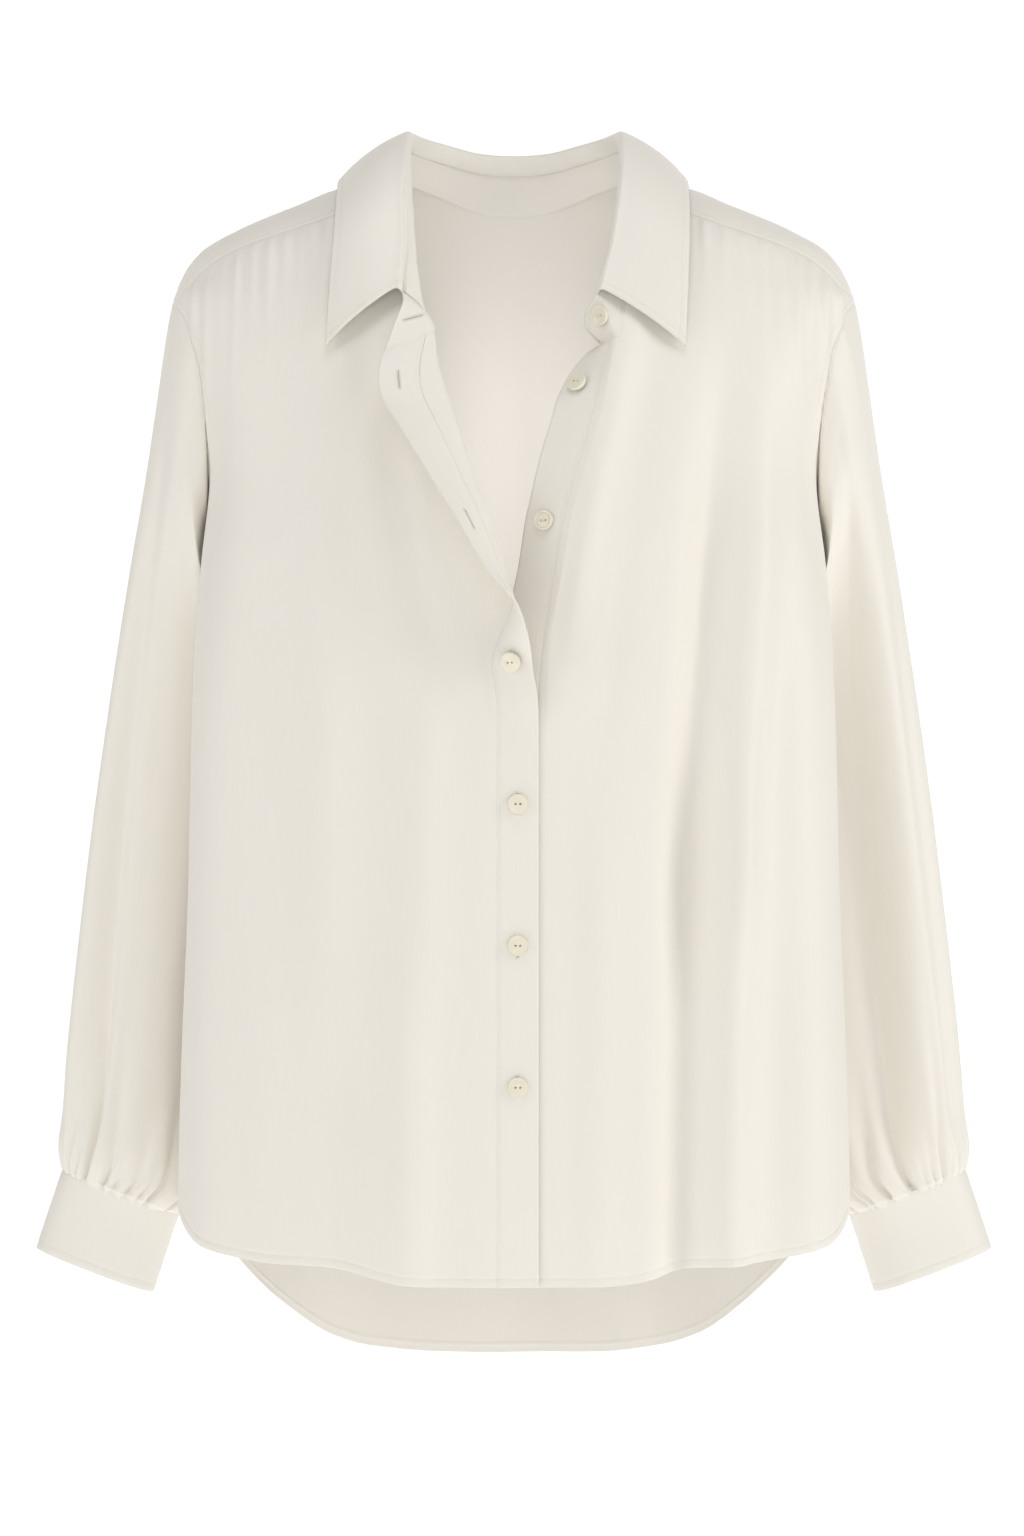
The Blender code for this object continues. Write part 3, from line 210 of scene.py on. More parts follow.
def body(angle, height):
    """The filled-out figure's surface; angle runs from the front centre to the back."""
    power = 2 / ROUNDNESS
    turn = np.radians(angle)
    depth = np.where(np.cos(turn) > 0, front_depth(height), back_depth(height))
    return np.stack((half_width(height) * signed_power(np.sin(turn), power),
                     centre_depth(height) - depth * signed_power(np.cos(turn), power),
                     height + 0 * turn), -1)


def body_normal(angle, height):
    around = body(angle + 0.5, height) - body(angle - 0.5, height)
    down = body(angle, height - 0.5) - body(angle, height + 0.5)
    return unit(np.cross(down, around))


def angle_at(side, height):
    share = np.minimum(np.abs(side) / half_width(height), 1.0)
    return np.copysign(np.degrees(np.arcsin(share ** (ROUNDNESS / 2))), side)


# Panels are laid out in millimetres round the body: evenly by angle past EVEN_FROM.
EVEN_FROM = 60.0
EVEN_SHARE = math.sin(math.radians(EVEN_FROM)) ** (2 / ROUNDNESS)
EVEN_STEP = EVEN_SHARE * 2 / ROUNDNESS / math.tan(math.radians(EVEN_FROM)) * math.pi / 180


def to_girth(places):
    angle, height = places[..., 0], places[..., 1]
    size = np.abs(angle)
    near = np.sin(np.radians(np.minimum(size, EVEN_FROM))) ** (2 / ROUNDNESS)
    share = np.where(size < EVEN_FROM, near, EVEN_SHARE + EVEN_STEP * (size - EVEN_FROM))
    return pair(np.copysign(share, angle) * half_width(height), height)


def from_girth(places):
    girth, height = places[..., 0], places[..., 1]
    share = np.abs(girth) / half_width(height)
    near = np.degrees(np.arcsin(np.minimum(share, EVEN_SHARE) ** (ROUNDNESS / 2)))
    angle = np.where(share < EVEN_SHARE, near, EVEN_FROM + (share - EVEN_SHARE) / EVEN_STEP)
    return np.copysign(angle, girth), height


HALVINGS = 40               # enough to find a height to well under a thousandth of a millimetre


def plan_place(side, depth):
    """Angle and height of the body's point that has this place in plan."""
    low, high = np.full_like(side, -150.0), np.full_like(side, BODY_LEVELS[0].height)
    for _ in range(HALVINGS):
        height = (low + high) / 2
        offset = depth - centre_depth(height)
        reach = np.where(offset < 0, front_depth(height), back_depth(height))
        outside = (np.abs(side / half_width(height)) ** ROUNDNESS
                   + np.abs(offset / reach) ** ROUNDNESS) > 1
        low, high = np.where(outside, low, height), np.where(outside, height, high)
    across = np.abs(side / half_width(low)) ** (ROUNDNESS / 2)
    forward = np.abs(offset / reach) ** (ROUNDNESS / 2)
    angle = np.degrees(np.arctan2(across, np.copysign(forward, -offset)))
    return pair(-angle, low)


NECK_STEPS = 4


def neck_places(spread):
    rows = np.arange(NECK_LAST * NECK_STEPS + 1) / NECK_STEPS
    plan = along(NECK_PLAN, rows)
    return plan_place(plan[:, 0] + spread * ease((rows - NECK_SEAM_START) / 2), plan[:, 1])


def neck_place(row, places):
    return along(places, np.asarray(row) * NECK_STEPS)


NECK = neck_places(0.0)
seam_start = neck_place(NECK_SEAM_START, NECK)
seam_end = np.array((-armhole_front(-SHOULDER_SEAM_TURN), armhole_height(-SHOULDER_SEAM_TURN)))
SEAM_INNER = abs(body(*seam_start)[0])
SEAM_OUTER = abs(body(*seam_end)[0])
shoulder_seam = smooth([SeamRow(SEAM_INNER, seam_start[1])] + SHOULDER_SEAM
                       + [SeamRow(SEAM_OUTER, seam_end[1])], "side", "height")
front_hem = smooth(FRONT_HEM, "side", "height")


def seam_place(side):
    height = shoulder_seam(side)
    return pair(angle_at(-side, height), height)


def armhole_and_side(v, underarm, turn, armhole_angle):
    """Outer edge of a panel's -X side: down the armhole, and from the underarm down the side."""
    height = mix(armhole_height(180), HEM_SIDE, (v - underarm) / (1 - underarm))
    armhole = pair(-armhole_angle, armhole_height(np.abs(turn)))
    return np.where((v < underarm)[..., None], armhole, pair(-side_seam(height), height))


def fold_rise(folds, side, height):
    total = 0.0
    for fold in folds:
        t = (fold.top_z - height) / (fold.top_z - fold.low_z)
        ends = ease((t + 0.2) / 0.4) * ease((1.2 - t) / 0.4)
        total = total + fold.rise * ends * bump((side - mix(fold.top_x, fold.low_x, t)) / fold.width)
    return total


def gather_rise(gathers, side, height):
    total = 0.0
    for gather in gathers:
        below = (shoulder_seam(np.abs(side)) - height) / gather.length
        fade = ease(0.12 + below / 0.16) * np.exp(-2.2 * np.maximum(below, 0.0) ** 1.3)
        total = total + gather.rise * fade * bump((side - gather.side) / GATHER_WIDTH)
    return total


def drift(across, down):
    """Slow unevenness of hanging cloth, from -1 to 1: long waves that never quite repeat."""
    return (0.4 * np.sin(across / 9.1 + 1.3 * np.sin(down / 83.0) + 0.4)
            + 0.35 * np.sin(across / 14.7 - down / 190.0 + 2.1)
            + 0.25 * np.sin(across / 5.3 + down / 61.0 + 4.0) * np.sin(down / 47.0 + 0.7))


UPPER_BOW_END = 0.30        # the share of a panel's length that its bowed ends act on
LOWER_BOW_END = 0.60


def between(upper, lower, outer, inner, u, v):
    """Places between four edges: u runs from outer to inner, v from upper to lower."""
    share = u[..., None]
    upper_bow = upper(u) - mix(upper(0 * u), upper(0 * u + 1), share)
    lower_bow = lower(u) - mix(lower(0 * u), lower(0 * u + 1), share)
    upper_share = np.maximum(1 - v / UPPER_BOW_END, 0)[..., None] ** 2
    lower_share = np.maximum(1 - (1 - v) / LOWER_BOW_END, 0)[..., None] ** 2
    return mix(outer(v), inner(v), share) + upper_bow * upper_share + lower_bow * lower_share


def even_steps(length, fine, coarse, zone=9.0):
    """Shares of a length, close together near both ends, where seams and stitching lie."""
    near = np.arange(0, zone, fine)
    count = max(int(round((length - 2 * zone) / coarse)), 1)
    middle = np.linspace(zone, length - zone, count + 1)
    return np.concatenate((near, middle, length - near[::-1])) / length


FINE_STEP = 0.9             # between the grid's lines at a seam, in millimetres


def rows_below(level, length, coarse):
    """A panel's rows from a level down to its end."""
    return level + even_steps((1 - level) * length, FINE_STEP, coarse) * (1 - level)


NECK_LEVEL = 0.135          # the neck corner's place down a front's inner edge
UNDERARM_LEVEL = 0.28       # the underarm's place down its outer edge
PANEL_WIDTH = 190.0
PANEL_LENGTH = 620.0
TURNED_COLUMNS = 20         # of the grid between the turn line and the band


class Front:
    """One front, worked out with its side at -X; the left one is mirrored when it is finished."""

    def __init__(self, name, turn_rows, folds, gathers, mirror, lap):
        self.neck = neck_places(NECK_SPREADS[name])
        self.side, self.turn, self.reach = (
            smooth(turn_rows, "height", column) for column in ("side", "turn", "reach"))
        self.top = turn_rows[-1].height
        self.top_drop = TOP_DROPS[name]
        self.folds = folds
        self.gathers = gathers
        self.mirror = mirror
        self.lap = lap

    def finish(self, points):
        return points * (-1, 1, 1) if self.mirror else points

    def lifted(self, angle, height):
        """The cloth over a place on the body, with its folds, its gathers and its lap."""
        point = body(angle, height)
        size = np.abs(point[..., 0])
        true_side = -point[..., 0] if self.mirror else point[..., 0]
        rise = fold_rise(self.folds, true_side, height) + DRIFT_RISE * drift(true_side, height)
        rise = rise * ease((np.abs(angle) - 4) / 8) * ease((FRONT_FOLDS_END - np.abs(angle)) / 14)
        rise = rise * ease((shoulder_seam(size) - height) / SEAM_FADE)
        rise = rise + gather_rise(self.gathers, true_side, height)
        rise = rise + self.lap * ease(1 - (size - LAP_START) / LAP_FADE)
        return point + body_normal(angle, height) * rise[..., None]

    def height_at(self, level):
        """Height of a place on the turn line, from 0 at its top to 1 at the hem."""
        return mix(self.top, FRONT_HEM[0].height, level)

    def turn_place(self, height):
        return pair(angle_at(self.side(height), height), height)

    def edge_point(self, level, distance):
        """Past the turn line: a roll and then a straight run, on one level."""
        level, distance = np.broadcast_arrays(level, distance)
        height = self.height_at(level)
        angle = angle_at(self.side(height), height)
        turn = np.radians(self.turn(height))
        size = np.abs(turn)
        radius = TURN_RADIUS + CROSSING_SOFTNESS * bump((height - CROSSING_HEIGHT) / CROSSING_SPREAD)
        rolled = np.minimum(distance / radius, size)
        rest = np.maximum(distance - radius * size, 0.0)
        ahead = radius * np.sin(rolled) + rest * np.cos(turn)
        forward = np.copysign(radius * (1 - np.cos(rolled)), turn) + rest * np.sin(turn)
        share = distance / (self.reach(height) + BAND_WIDTH)
        drop = self.top_drop * share * np.exp(-level / TOP_DROP_FADE)
        lean = angle * EDGE_LEAN
        return self.lifted(angle, height) + np.stack((ahead, -forward - ahead * lean, drop), -1)

    def neck_edge(self, row):
        """Places along the neck seam, and past its last row to the top of the turn line."""
        row = np.asarray(row, float)
        share = np.maximum(row - NECK_LAST, 0)[..., None]
        corner = self.turn_place(np.asarray(self.top))
        return np.where(share > 0, mix(self.neck[-1], corner, share),
                        neck_place(np.minimum(row, NECK_LAST), self.neck))

    def upper(self, u):
        return to_girth(seam_place(mix(SEAM_OUTER, SEAM_INNER, u)))

    def lower(self, u):
        low = FRONT_HEM[0].height
        angle = mix(-side_seam(HEM_SIDE), angle_at(self.side(low), low), u)
        return to_girth(pair(angle, front_hem(np.abs(body(angle, low)[..., 0]))))

    def outer(self, v):
        turn = mix(-SHOULDER_SEAM_TURN, 180, np.minimum(v / UNDERARM_LEVEL, 1))
        return to_girth(armhole_and_side(v, UNDERARM_LEVEL, turn, armhole_front(turn)))

    def inner(self, v):
        neck = self.neck_edge(mix(NECK_SEAM_START, NECK_LAST + 1, np.minimum(v / NECK_LEVEL, 1)))
        turn_line = self.turn_place(self.height_at(self.band_level(v)))
        return to_girth(np.where((v < NECK_LEVEL)[..., None], neck, turn_line))

    def band_level(self, v):
        """How far a row lies down the turn line, from 0 at the neck corner to 1 at the hem."""
        return np.maximum(v - NECK_LEVEL, 0) / (1 - NECK_LEVEL)

    def levels(self):
        """Rows down the panel: the neck part, then the part beside the band."""
        neck = even_steps(NECK_LEVEL * PANEL_LENGTH, FINE_STEP, 2.4, 6.0) * NECK_LEVEL
        return np.concatenate((neck[:-1], rows_below(NECK_LEVEL, PANEL_LENGTH, 3.2)))

    def grid(self):
        v, u = np.meshgrid(self.levels(), even_steps(PANEL_WIDTH, FINE_STEP, 2.1), indexing="ij")
        angle, height = from_girth(between(self.upper, self.lower, self.outer, self.inner, u, v))
        panel = self.lifted(angle, height)
        shares = np.arange(1, TURNED_COLUMNS + 1) / TURNED_COLUMNS
        level = self.band_level(v[:, :1])
        reach = self.reach(self.height_at(level))
        turned = self.edge_point(level, shares * reach)
        beside_neck = v[:, :1] < NECK_LEVEL
        turned = np.where(beside_neck[..., None], panel[:, -1:], turned)
        cloth_here = np.broadcast_to(~beside_neck, turned.shape[:2])
        made = np.concatenate((np.ones(panel.shape[:2], bool), cloth_here), 1)
        return self.finish(np.concatenate((panel, turned), 1)), made

    def band_grid(self):
        levels = self.levels()
        level = self.band_level(levels[levels >= NECK_LEVEL])[:, None]
        reach = self.reach(self.height_at(level))
        shares = even_steps(BAND_WIDTH, 0.8, 1.2, 5.0)
        return self.finish(self.edge_point(level, reach + shares * BAND_WIDTH))


def grid_normals(grid, flip, closed=False):
    if closed:
        grid = np.concatenate((grid[:, -2:-1], grid, grid[:, 1:2]), 1)
    normals = unit(np.cross(np.gradient(grid, axis=0), np.gradient(grid, axis=1)))
    if closed:
        normals = normals[:, 1:-1]
    return -normals if flip else normals


def way_in(grid, edge):
    """Each point's way over the cloth from one edge of its grid."""
    axis = 0 if edge in ("top", "bottom") else 1
    steps = np.linalg.norm(np.diff(grid, axis=axis), axis=-1)
    way = np.concatenate((np.zeros_like(steps.take([0], axis)), np.cumsum(steps, axis)), axis)
    return way if edge in ("top", "left") else way.take([-1], axis) - way


# A press at an edge is a seam's dip; on a sewn piece, one with an inset is a line of stitching.
Press = namedtuple("Press", "edge inset depth width rows", defaults=(slice(None),))
SEAM_DIP = 0.35
SEAM_WIDTH = 1.6
SEAM_TUCK = 1.6             # how far a piece runs on under its neighbour past their seam
STITCH_DIP = 0.22


def pressed(grid, normals, presses):
    """Lets the cloth dip at its seams and pucker along its stitching."""
    rise = np.zeros(grid.shape[:2])
    for press in presses:
        way = way_in(grid, press.edge)
        run = way_in(grid, "top" if press.edge in ("left", "right") else "left")
        pucker = 1 + 0.45 * np.sin(run / 1.9 + 1.7 * np.sin(run / 13.0)) * (press.inset > 0)
        rise -= press.depth * pucker * bump((way - press.inset) / press.width)
    return grid + normals * rise[..., None]


def hex_to_linear(colour):
    values = [int(colour[i:i + 2], 16) / 255 for i in (1, 3, 5)]
    return [v / 12.92 if v <= 0.04045 else ((v + 0.055) / 1.055) ** 2.4 for v in values] + [1.0]


def set_inputs(node, **values):
    """Sets a node's inputs by name, with underscores for the spaces."""
    for name, value in values.items():
        node.inputs[name.replace("_", " ")].default_value = value


def add_node(tree, kind, links=(), **values):
    """Adds a node with its inputs' values, and links other inputs to (node, output) pairs."""
    node = tree.nodes.new(kind)
    set_inputs(node, **values)
    for name, (source, output) in dict(links).items():
        tree.links.new(source.outputs[output], node.inputs[name])
    return node


def new_material(name, colour, roughness, ior=1.5, **values):
    made = bpy.data.materials.new(name)
    made.use_nodes = True
    shader = made.node_tree.nodes["Principled BSDF"]
    set_inputs(shader, Base_Color=hex_to_linear(colour), Roughness=roughness, IOR=ior, **values)
    return made, made.node_tree, shader


def add_noise(tree, space, scale, detail, roughness=0.5):
    """Noise in one of an object's spaces; scale is in waves for each unit of length."""
    place = add_node(tree, "ShaderNodeTexCoord")
    scaled = add_node(tree, "ShaderNodeMapping", {"Vector": (place, space)}, Scale=scale)
    return add_node(tree, "ShaderNodeTexNoise", {"Vector": (scaled, "Vector")},
                    Scale=1.0, Detail=detail, Roughness=roughness)


def add_relief(tree, shader, source, strength, distance):
    relief = add_node(tree, "ShaderNodeBump", {"Height": source}, Strength=strength, Distance=distance)
    tree.links.new(relief.outputs["Normal"], shader.inputs["Normal"])


def add_tint(tree, shader, noise, dark, light):
    tint = add_node(tree, "ShaderNodeMixRGB", {"Fac": (noise, "Fac")},
                    Color1=hex_to_linear(dark), Color2=hex_to_linear(light))
    tree.links.new(tint.outputs["Color"], shader.inputs["Base Color"])


def ivory_silk():
    """Crepe silk in its natural ivory: fine twisted threads give it a soft, low sheen."""
    made, tree, shader = new_material("ivory_crepe_silk", "#f2eee7", 0.48, 1.54, Sheen_Weight=0.2,
                                      Sheen_Roughness=0.45, Specular_IOR_Level=0.35)
    # The real threads lie 0.12 mm apart; the crepe's pebbled face shows at about 0.8 mm.
    pebble = add_noise(tree, "UV", [1 / 0.8] * 3, 2.0)
    slub = add_noise(tree, "UV", (1 / 1.1, 1 / 26.0, 1), 1.0, 0.4)
    both = add_node(tree, "ShaderNodeMath")
    both.operation = "ADD"
    tree.links.new(pebble.outputs["Fac"], both.inputs[0])
    tree.links.new(slub.outputs["Fac"], both.inputs[1])
    add_relief(tree, shader, (both, "Value"), 0.05, 0.12 * MM)
    add_tint(tree, shader, slub, "#f1ede5", "#f4f0e8")
    return made


silk = ivory_silk()


def activate(piece):
    bpy.ops.object.select_all(action="DESELECT")
    piece.select_set(True)
    bpy.context.view_layer.objects.active = piece


def apply_modifiers(piece):
    activate(piece)
    for modifier in list(piece.modifiers):
        bpy.ops.object.modifier_apply(modifier=modifier.name)


def add_object(name, data):
    made = bpy.data.objects.new(name, data)
    bpy.context.scene.collection.objects.link(made)
    return made


def link_mesh(name, points, faces, material):
    mesh = bpy.data.meshes.new(name)
    mesh.from_pydata([tuple(point) for point in points], [], faces)
    mesh.materials.append(material)
    return add_object(name, mesh)


def cloth(name, grid, wall, flip=False, closed=False, made=None):
    """A sheet from a grid of points in millimetres, given its wall on the inner side."""
    rows, columns = grid.shape[:2]
    used = columns - 1 if closed else columns
    points = grid[:, :used].reshape(-1, 3) * MM
    down = way_in(grid, "top")
    across = way_in(grid, "left")
    faces, marks = [], []
    for r in range(rows - 1):
        for c in range(columns - 1):
            corners = ((r, c), (r + 1, c), (r + 1, c + 1), (r, c + 1))
            if made is not None and not all(made[corner] for corner in corners):
                continue
            corners = corners[::-1] if flip else corners
            faces.append([row * used + column % used for row, column in corners])
            marks.extend((across[corner], down[corner]) for corner in corners)
    piece = link_mesh(name, points, faces, silk)
    layer = piece.data.uv_layers.new(name="cut")
    layer.data.foreach_set("uv", np.array(marks, np.float32).ravel())
    activate(piece)
    if made is not None:
        bpy.ops.object.mode_set(mode="EDIT")
        bpy.ops.mesh.select_all(action="SELECT")
        bpy.ops.mesh.delete_loose()
        bpy.ops.object.mode_set(mode="OBJECT")
    thick = piece.modifiers.new("wall", "SOLIDIFY")
    thick.thickness = wall * MM
    thick.offset = -1
    apply_modifiers(piece)
    piece.data.shade_smooth()
    return piece


def line_on(grid, normals, edge, inset, rows=slice(None)):
    """The line that lies `inset` from an edge: its points and the cloth's normals there."""
    parts = (way_in(grid, edge), grid, normals)
    if edge in ("top", "bottom"):
        parts = [part.swapaxes(0, 1) for part in parts]
    order = 1 if edge in ("top", "left") else -1
    way, grid, normals = (part[rows, ::order] for part in parts)
    index = np.array([np.interp(inset, way[r], np.arange(way.shape[1])) for r in range(len(way))])
    low = np.minimum(index.astype(int), way.shape[1] - 2)
    share = (index - low)[:, None]
    row = np.arange(len(way))
    return (mix(grid[row, low], grid[row, low + 1], share),
            unit(mix(normals[row, low], normals[row, low + 1], share)))


STITCH_PITCH = 2.5
STITCH_LENGTH = 2.05
THREAD = 0.32


def thread_material():
    """Spun polyester sewing thread in the silk's colour."""
    made, tree, shader = new_material("ivory_sewing_thread", "#f1eee6", 0.55)
    twist = add_noise(tree, "Object", [1 / (0.4 * MM)] * 3, 1.0)
    add_relief(tree, shader, (twist, "Fac"), 0.3, 0.05 * MM)
    return made


thread = thread_material()


def stitch_mesh(name, centres, headings, normals, length, thickness):
    """Short bars of thread, each slim, five-sided and pointed at its ends, in one mesh."""
    sides = 5
    turn = 2 * math.pi * np.arange(sides) / sides
    ring = np.stack((0 * turn, np.cos(turn), np.sin(turn)), -1) * (0, thickness / 2, thickness / 2)
    tip = np.array(((length / 2, 0, 0),))
    body_half = np.array((length * 0.3, 0, 0))
    shape = np.concatenate((-tip, ring - body_half, ring + body_half, tip))
    faces = []
    for k in range(sides):
        after = (k + 1) % sides
        faces += [(0, 1 + after, 1 + k), (1 + k, 1 + after, 1 + sides + after, 1 + sides + k),
                  (1 + 2 * sides, 1 + sides + k, 1 + sides + after)]
    headings = unit(headings)
    side = unit(np.cross(normals, headings))
    up = np.cross(headings, side)
    basis = np.stack((headings, side, up), 1)
    points = np.einsum("pk,nkj->npj", shape, basis) + centres[:, None]
    count = len(shape)
    all_faces = [tuple(v + n * count for v in face) for n in range(len(centres)) for face in faces]
    piece = link_mesh(name, points.reshape(-1, 3) * MM, all_faces, thread)
    piece.data.shade_smooth()
    return piece


def run_stitches(lines):
    """Centres, headings and normals of stitches along lines that lie on the cloth."""
    found = []
    for points, normals in lines:
        way = np.concatenate(((0,), np.cumsum(np.linalg.norm(np.diff(points, axis=0), axis=1))))
        count = max(int(way[-1] / STITCH_PITCH), 2)
        at = (np.arange(count) + 0.5) * way[-1] / count
        spots, ahead, back, up = (
            np.stack([np.interp(s, way, values[:, k]) for k in range(3)], -1)
            for s, values in ((at, points), (at + 0.4, points), (at - 0.4, points), (at, normals)))
        found.append((spots + up * THREAD * 0.15, ahead - back, up))
    return [np.concatenate(part) for part in zip(*found)]


def sew(name, lines):
    """Stitches a piece along lines that lie on its cloth."""
    piece = stitch_mesh(name, *run_stitches(lines), STITCH_LENGTH, THREAD)
    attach(piece, "root")
    return piece


def make_sheet(node, grid, wall, flip, presses, ripple=None, sewn=True, closed=False, made=None):
    """A piece of cloth, pressed and stitched, that stands for its solid."""
    normals = grid_normals(grid, flip, closed)
    if ripple is not None:
        grid = grid + normals * ripple[..., None]
    grid = pressed(grid, normals, presses)
    seams = []
    if sewn:
        seams = [sew(node + "_stitching", [
            line_on(grid, normals, press.edge, press.inset, press.rows)
            for press in presses if press.inset > 0])]
    piece = cloth("silk_" + node, grid, wall, flip, closed, made)
    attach(piece, "root")
    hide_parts(node)
    return grid, normals


fronts = {
    "right": Front("right", RIGHT_TURN, RIGHT_FRONT_FOLDS, RIGHT_GATHERS, False, BAND_LAP),
    "left": Front("left", LEFT_TURN, LEFT_FRONT_FOLDS, LEFT_GATHERS, True, 0.0),
}
HEM = 5.0
BAND_SEAM_DIP = SEAM_DIP * 0.7
HEM_DIP = STITCH_DIP * 1.6
for name, front in fronts.items():
    grid, made = front.grid()
    armhole_rows = slice(0, int(np.searchsorted(front.levels(), UNDERARM_LEVEL)))
    make_sheet("front_" + name, grid, SILK_WALL, front.mirror, [
        Press("top", 0, SEAM_DIP, SEAM_WIDTH), Press("left", 0, SEAM_DIP, SEAM_WIDTH),
        Press("left", 7.0, STITCH_DIP, 0.9, armhole_rows), Press("right", 0, BAND_SEAM_DIP, 1.4),
        Press("bottom", HEM, HEM_DIP, 1.0)], made=made)

# ------------------------------------------------------------------------------------------
# The bands on the fronts' edges: the silk folded double over a light interlining, stitched
# down along seam and hem. The right one carries the buttonholes, the left one the buttons.
BAND_WALL = 0.8
BAND_NODES = {"right": "buttonhole_band", "left": "button_band"}
CLOSE_STITCHING = 1.8
EDGE_DIP = 0.25             # a folded edge's roundness, and how far it reaches in
EDGE_WIDTH = 0.8
bands = {
    name: make_sheet(BAND_NODES[name], front.band_grid(), BAND_WALL, front.mirror, [
        Press("left", 0, BAND_SEAM_DIP, 1.4), Press("left", CLOSE_STITCHING, STITCH_DIP, 0.7),
        Press("right", 0, EDGE_DIP, EDGE_WIDTH), Press("bottom", HEM, STITCH_DIP, 1.0)])
    for name, front in fronts.items()
}

# ------------------------------------------------------------------------------------------
# The back: one piece of the same silk, brought over the shoulders to the forward seams and
# cut longer than the fronts, with a curved shirt-tail hem.
BACK_SHOULDER_LEVEL = 0.072
SHOULDER_ROWS = 41
BACK_UNDERARM_LEVEL = 0.30
BACK_HEM = rows_of(
    SeamRow, (0, -726), (50, -725.5), (92, -721), (117, -713), (146, -692), (165, -673),
    (179, -656), (193, -640), (207, -622))
BowRow = namedtuple("BowRow", "level rise")
RIDGE_BOW = rows_of(
    BowRow, (0, 0), (0.012, 5), (0.024, 10), (0.048, 14), (0.072, 13), (0.084, 6), (0.098, 0),
    (1, 0))
RIDGE_BOW_WIDTH = 24.0
BACK_FOLDS = rows_of(
    Fold, (-150, -70, -152, -690, 17, 4.5), (-112, -90, -104, -715, 16, -4.2),
    (-70, -60, -64, -730, 17, 4.0), (-28, -120, -22, -730, 15, -3.4), (20, -80, 16, -730, 16, 3.6),
    (62, -90, 70, -730, 16, -4.4), (104, -70, 108, -715, 17, 4.6), (146, -110, 150, -690, 16, -3.8),
    (-128, -150, -126, -690, 7, -1.2), (-88, -260, -84, -720, 7, 1.1),
    (-46, -90, -42, -560, 8, -1.0), (-2, -300, 2, -726, 7, 0.9), (38, -140, 40, -726, 8, -1.1),
    (84, -200, 90, -722, 7, 1.2), (124, -130, 128, -700, 7, -1.2))
BACK_FOLDS_END = 78.0       # folds fade out before this angle from the back's middle
BACK_DRIFT_RISE = 0.4
BACK_WIDTH = 560.0
BACK_LENGTH = 760.0
ridge_bow = smooth(RIDGE_BOW, "level", "rise")
back_hem = smooth(BACK_HEM, "side", "height")


def back_upper(t):
    return neck_place(NECK_SEAM_START * t, NECK)


def back_lower(t):
    angle = mix(-180.0, -side_seam(HEM_SIDE), t)
    return pair(angle, back_hem(np.abs(body(angle, BACK_HEM[4].height)[..., 0])))


def back_middle(t):
    return pair(0 * t - 180.0, mix(NECK[0, 1], BACK_HEM[0].height, t))


def back_edge(v):
    """Outer edge of the back's -X half: shoulder seam, armhole, side seam."""
    share = np.minimum(v / BACK_SHOULDER_LEVEL, 1)
    shoulder = seam_place(mix(SEAM_INNER, SEAM_OUTER, share))
    share = (v - BACK_SHOULDER_LEVEL) / (BACK_UNDERARM_LEVEL - BACK_SHOULDER_LEVEL)
    turn = mix(SHOULDER_SEAM_TURN, 180, np.clip(share, 0, 1))
    angle = np.where(turn > 0, armhole_back(turn), armhole_front(-turn))
    below = armhole_and_side(v, BACK_UNDERARM_LEVEL, turn, angle)
    return np.where((v < BACK_SHOULDER_LEVEL)[..., None], shoulder, below)


def back_lifted(angle, height):
    point = body(angle, height)
    past_side = np.minimum(np.abs(angle + 180), 180)
    rise = (fold_rise(BACK_FOLDS, point[..., 0], height)
            + BACK_DRIFT_RISE * drift(point[..., 0], height))
    rise = rise * ease((BACK_FOLDS_END - past_side) / 16) * ease((NECK[0, 1] - height) / 20)
    return point + body_normal(angle, height) * rise[..., None]


def back_grid():
    fine_rows = np.linspace(0, BACK_SHOULDER_LEVEL, SHOULDER_ROWS)
    levels = np.concatenate((fine_rows[:-1], rows_below(BACK_SHOULDER_LEVEL, BACK_LENGTH, 3.8)))
    v, u = np.meshgrid(levels, 2 * even_steps(BACK_WIDTH, FINE_STEP, 3.0) - 1, indexing="ij")
    share = np.abs(u)
    places = between(back_upper, back_lower, back_middle, back_edge, share, v)
    angle, height = places[..., 0], places[..., 1]
    bow = ridge_bow(v) * bump((angle + 90) / RIDGE_BOW_WIDTH) * ease((1 - share) / 0.08)
    return back_lifted(np.where(u > 0, -360 - angle, angle), height + bow), levels


grid, back_levels = back_grid()
armhole_rows = slice(0, int(np.searchsorted(back_levels, BACK_UNDERARM_LEVEL)))
make_sheet(
    "back", grid, SILK_WALL, True,
    [Press(edge, 0, SEAM_DIP, SEAM_WIDTH) for edge in ("top", "left", "right")]
    + [Press(edge, 6.0, STITCH_DIP, 0.9, armhole_rows) for edge in ("left", "right")]
    + [Press("bottom", HEM, HEM_DIP, 1.0)])

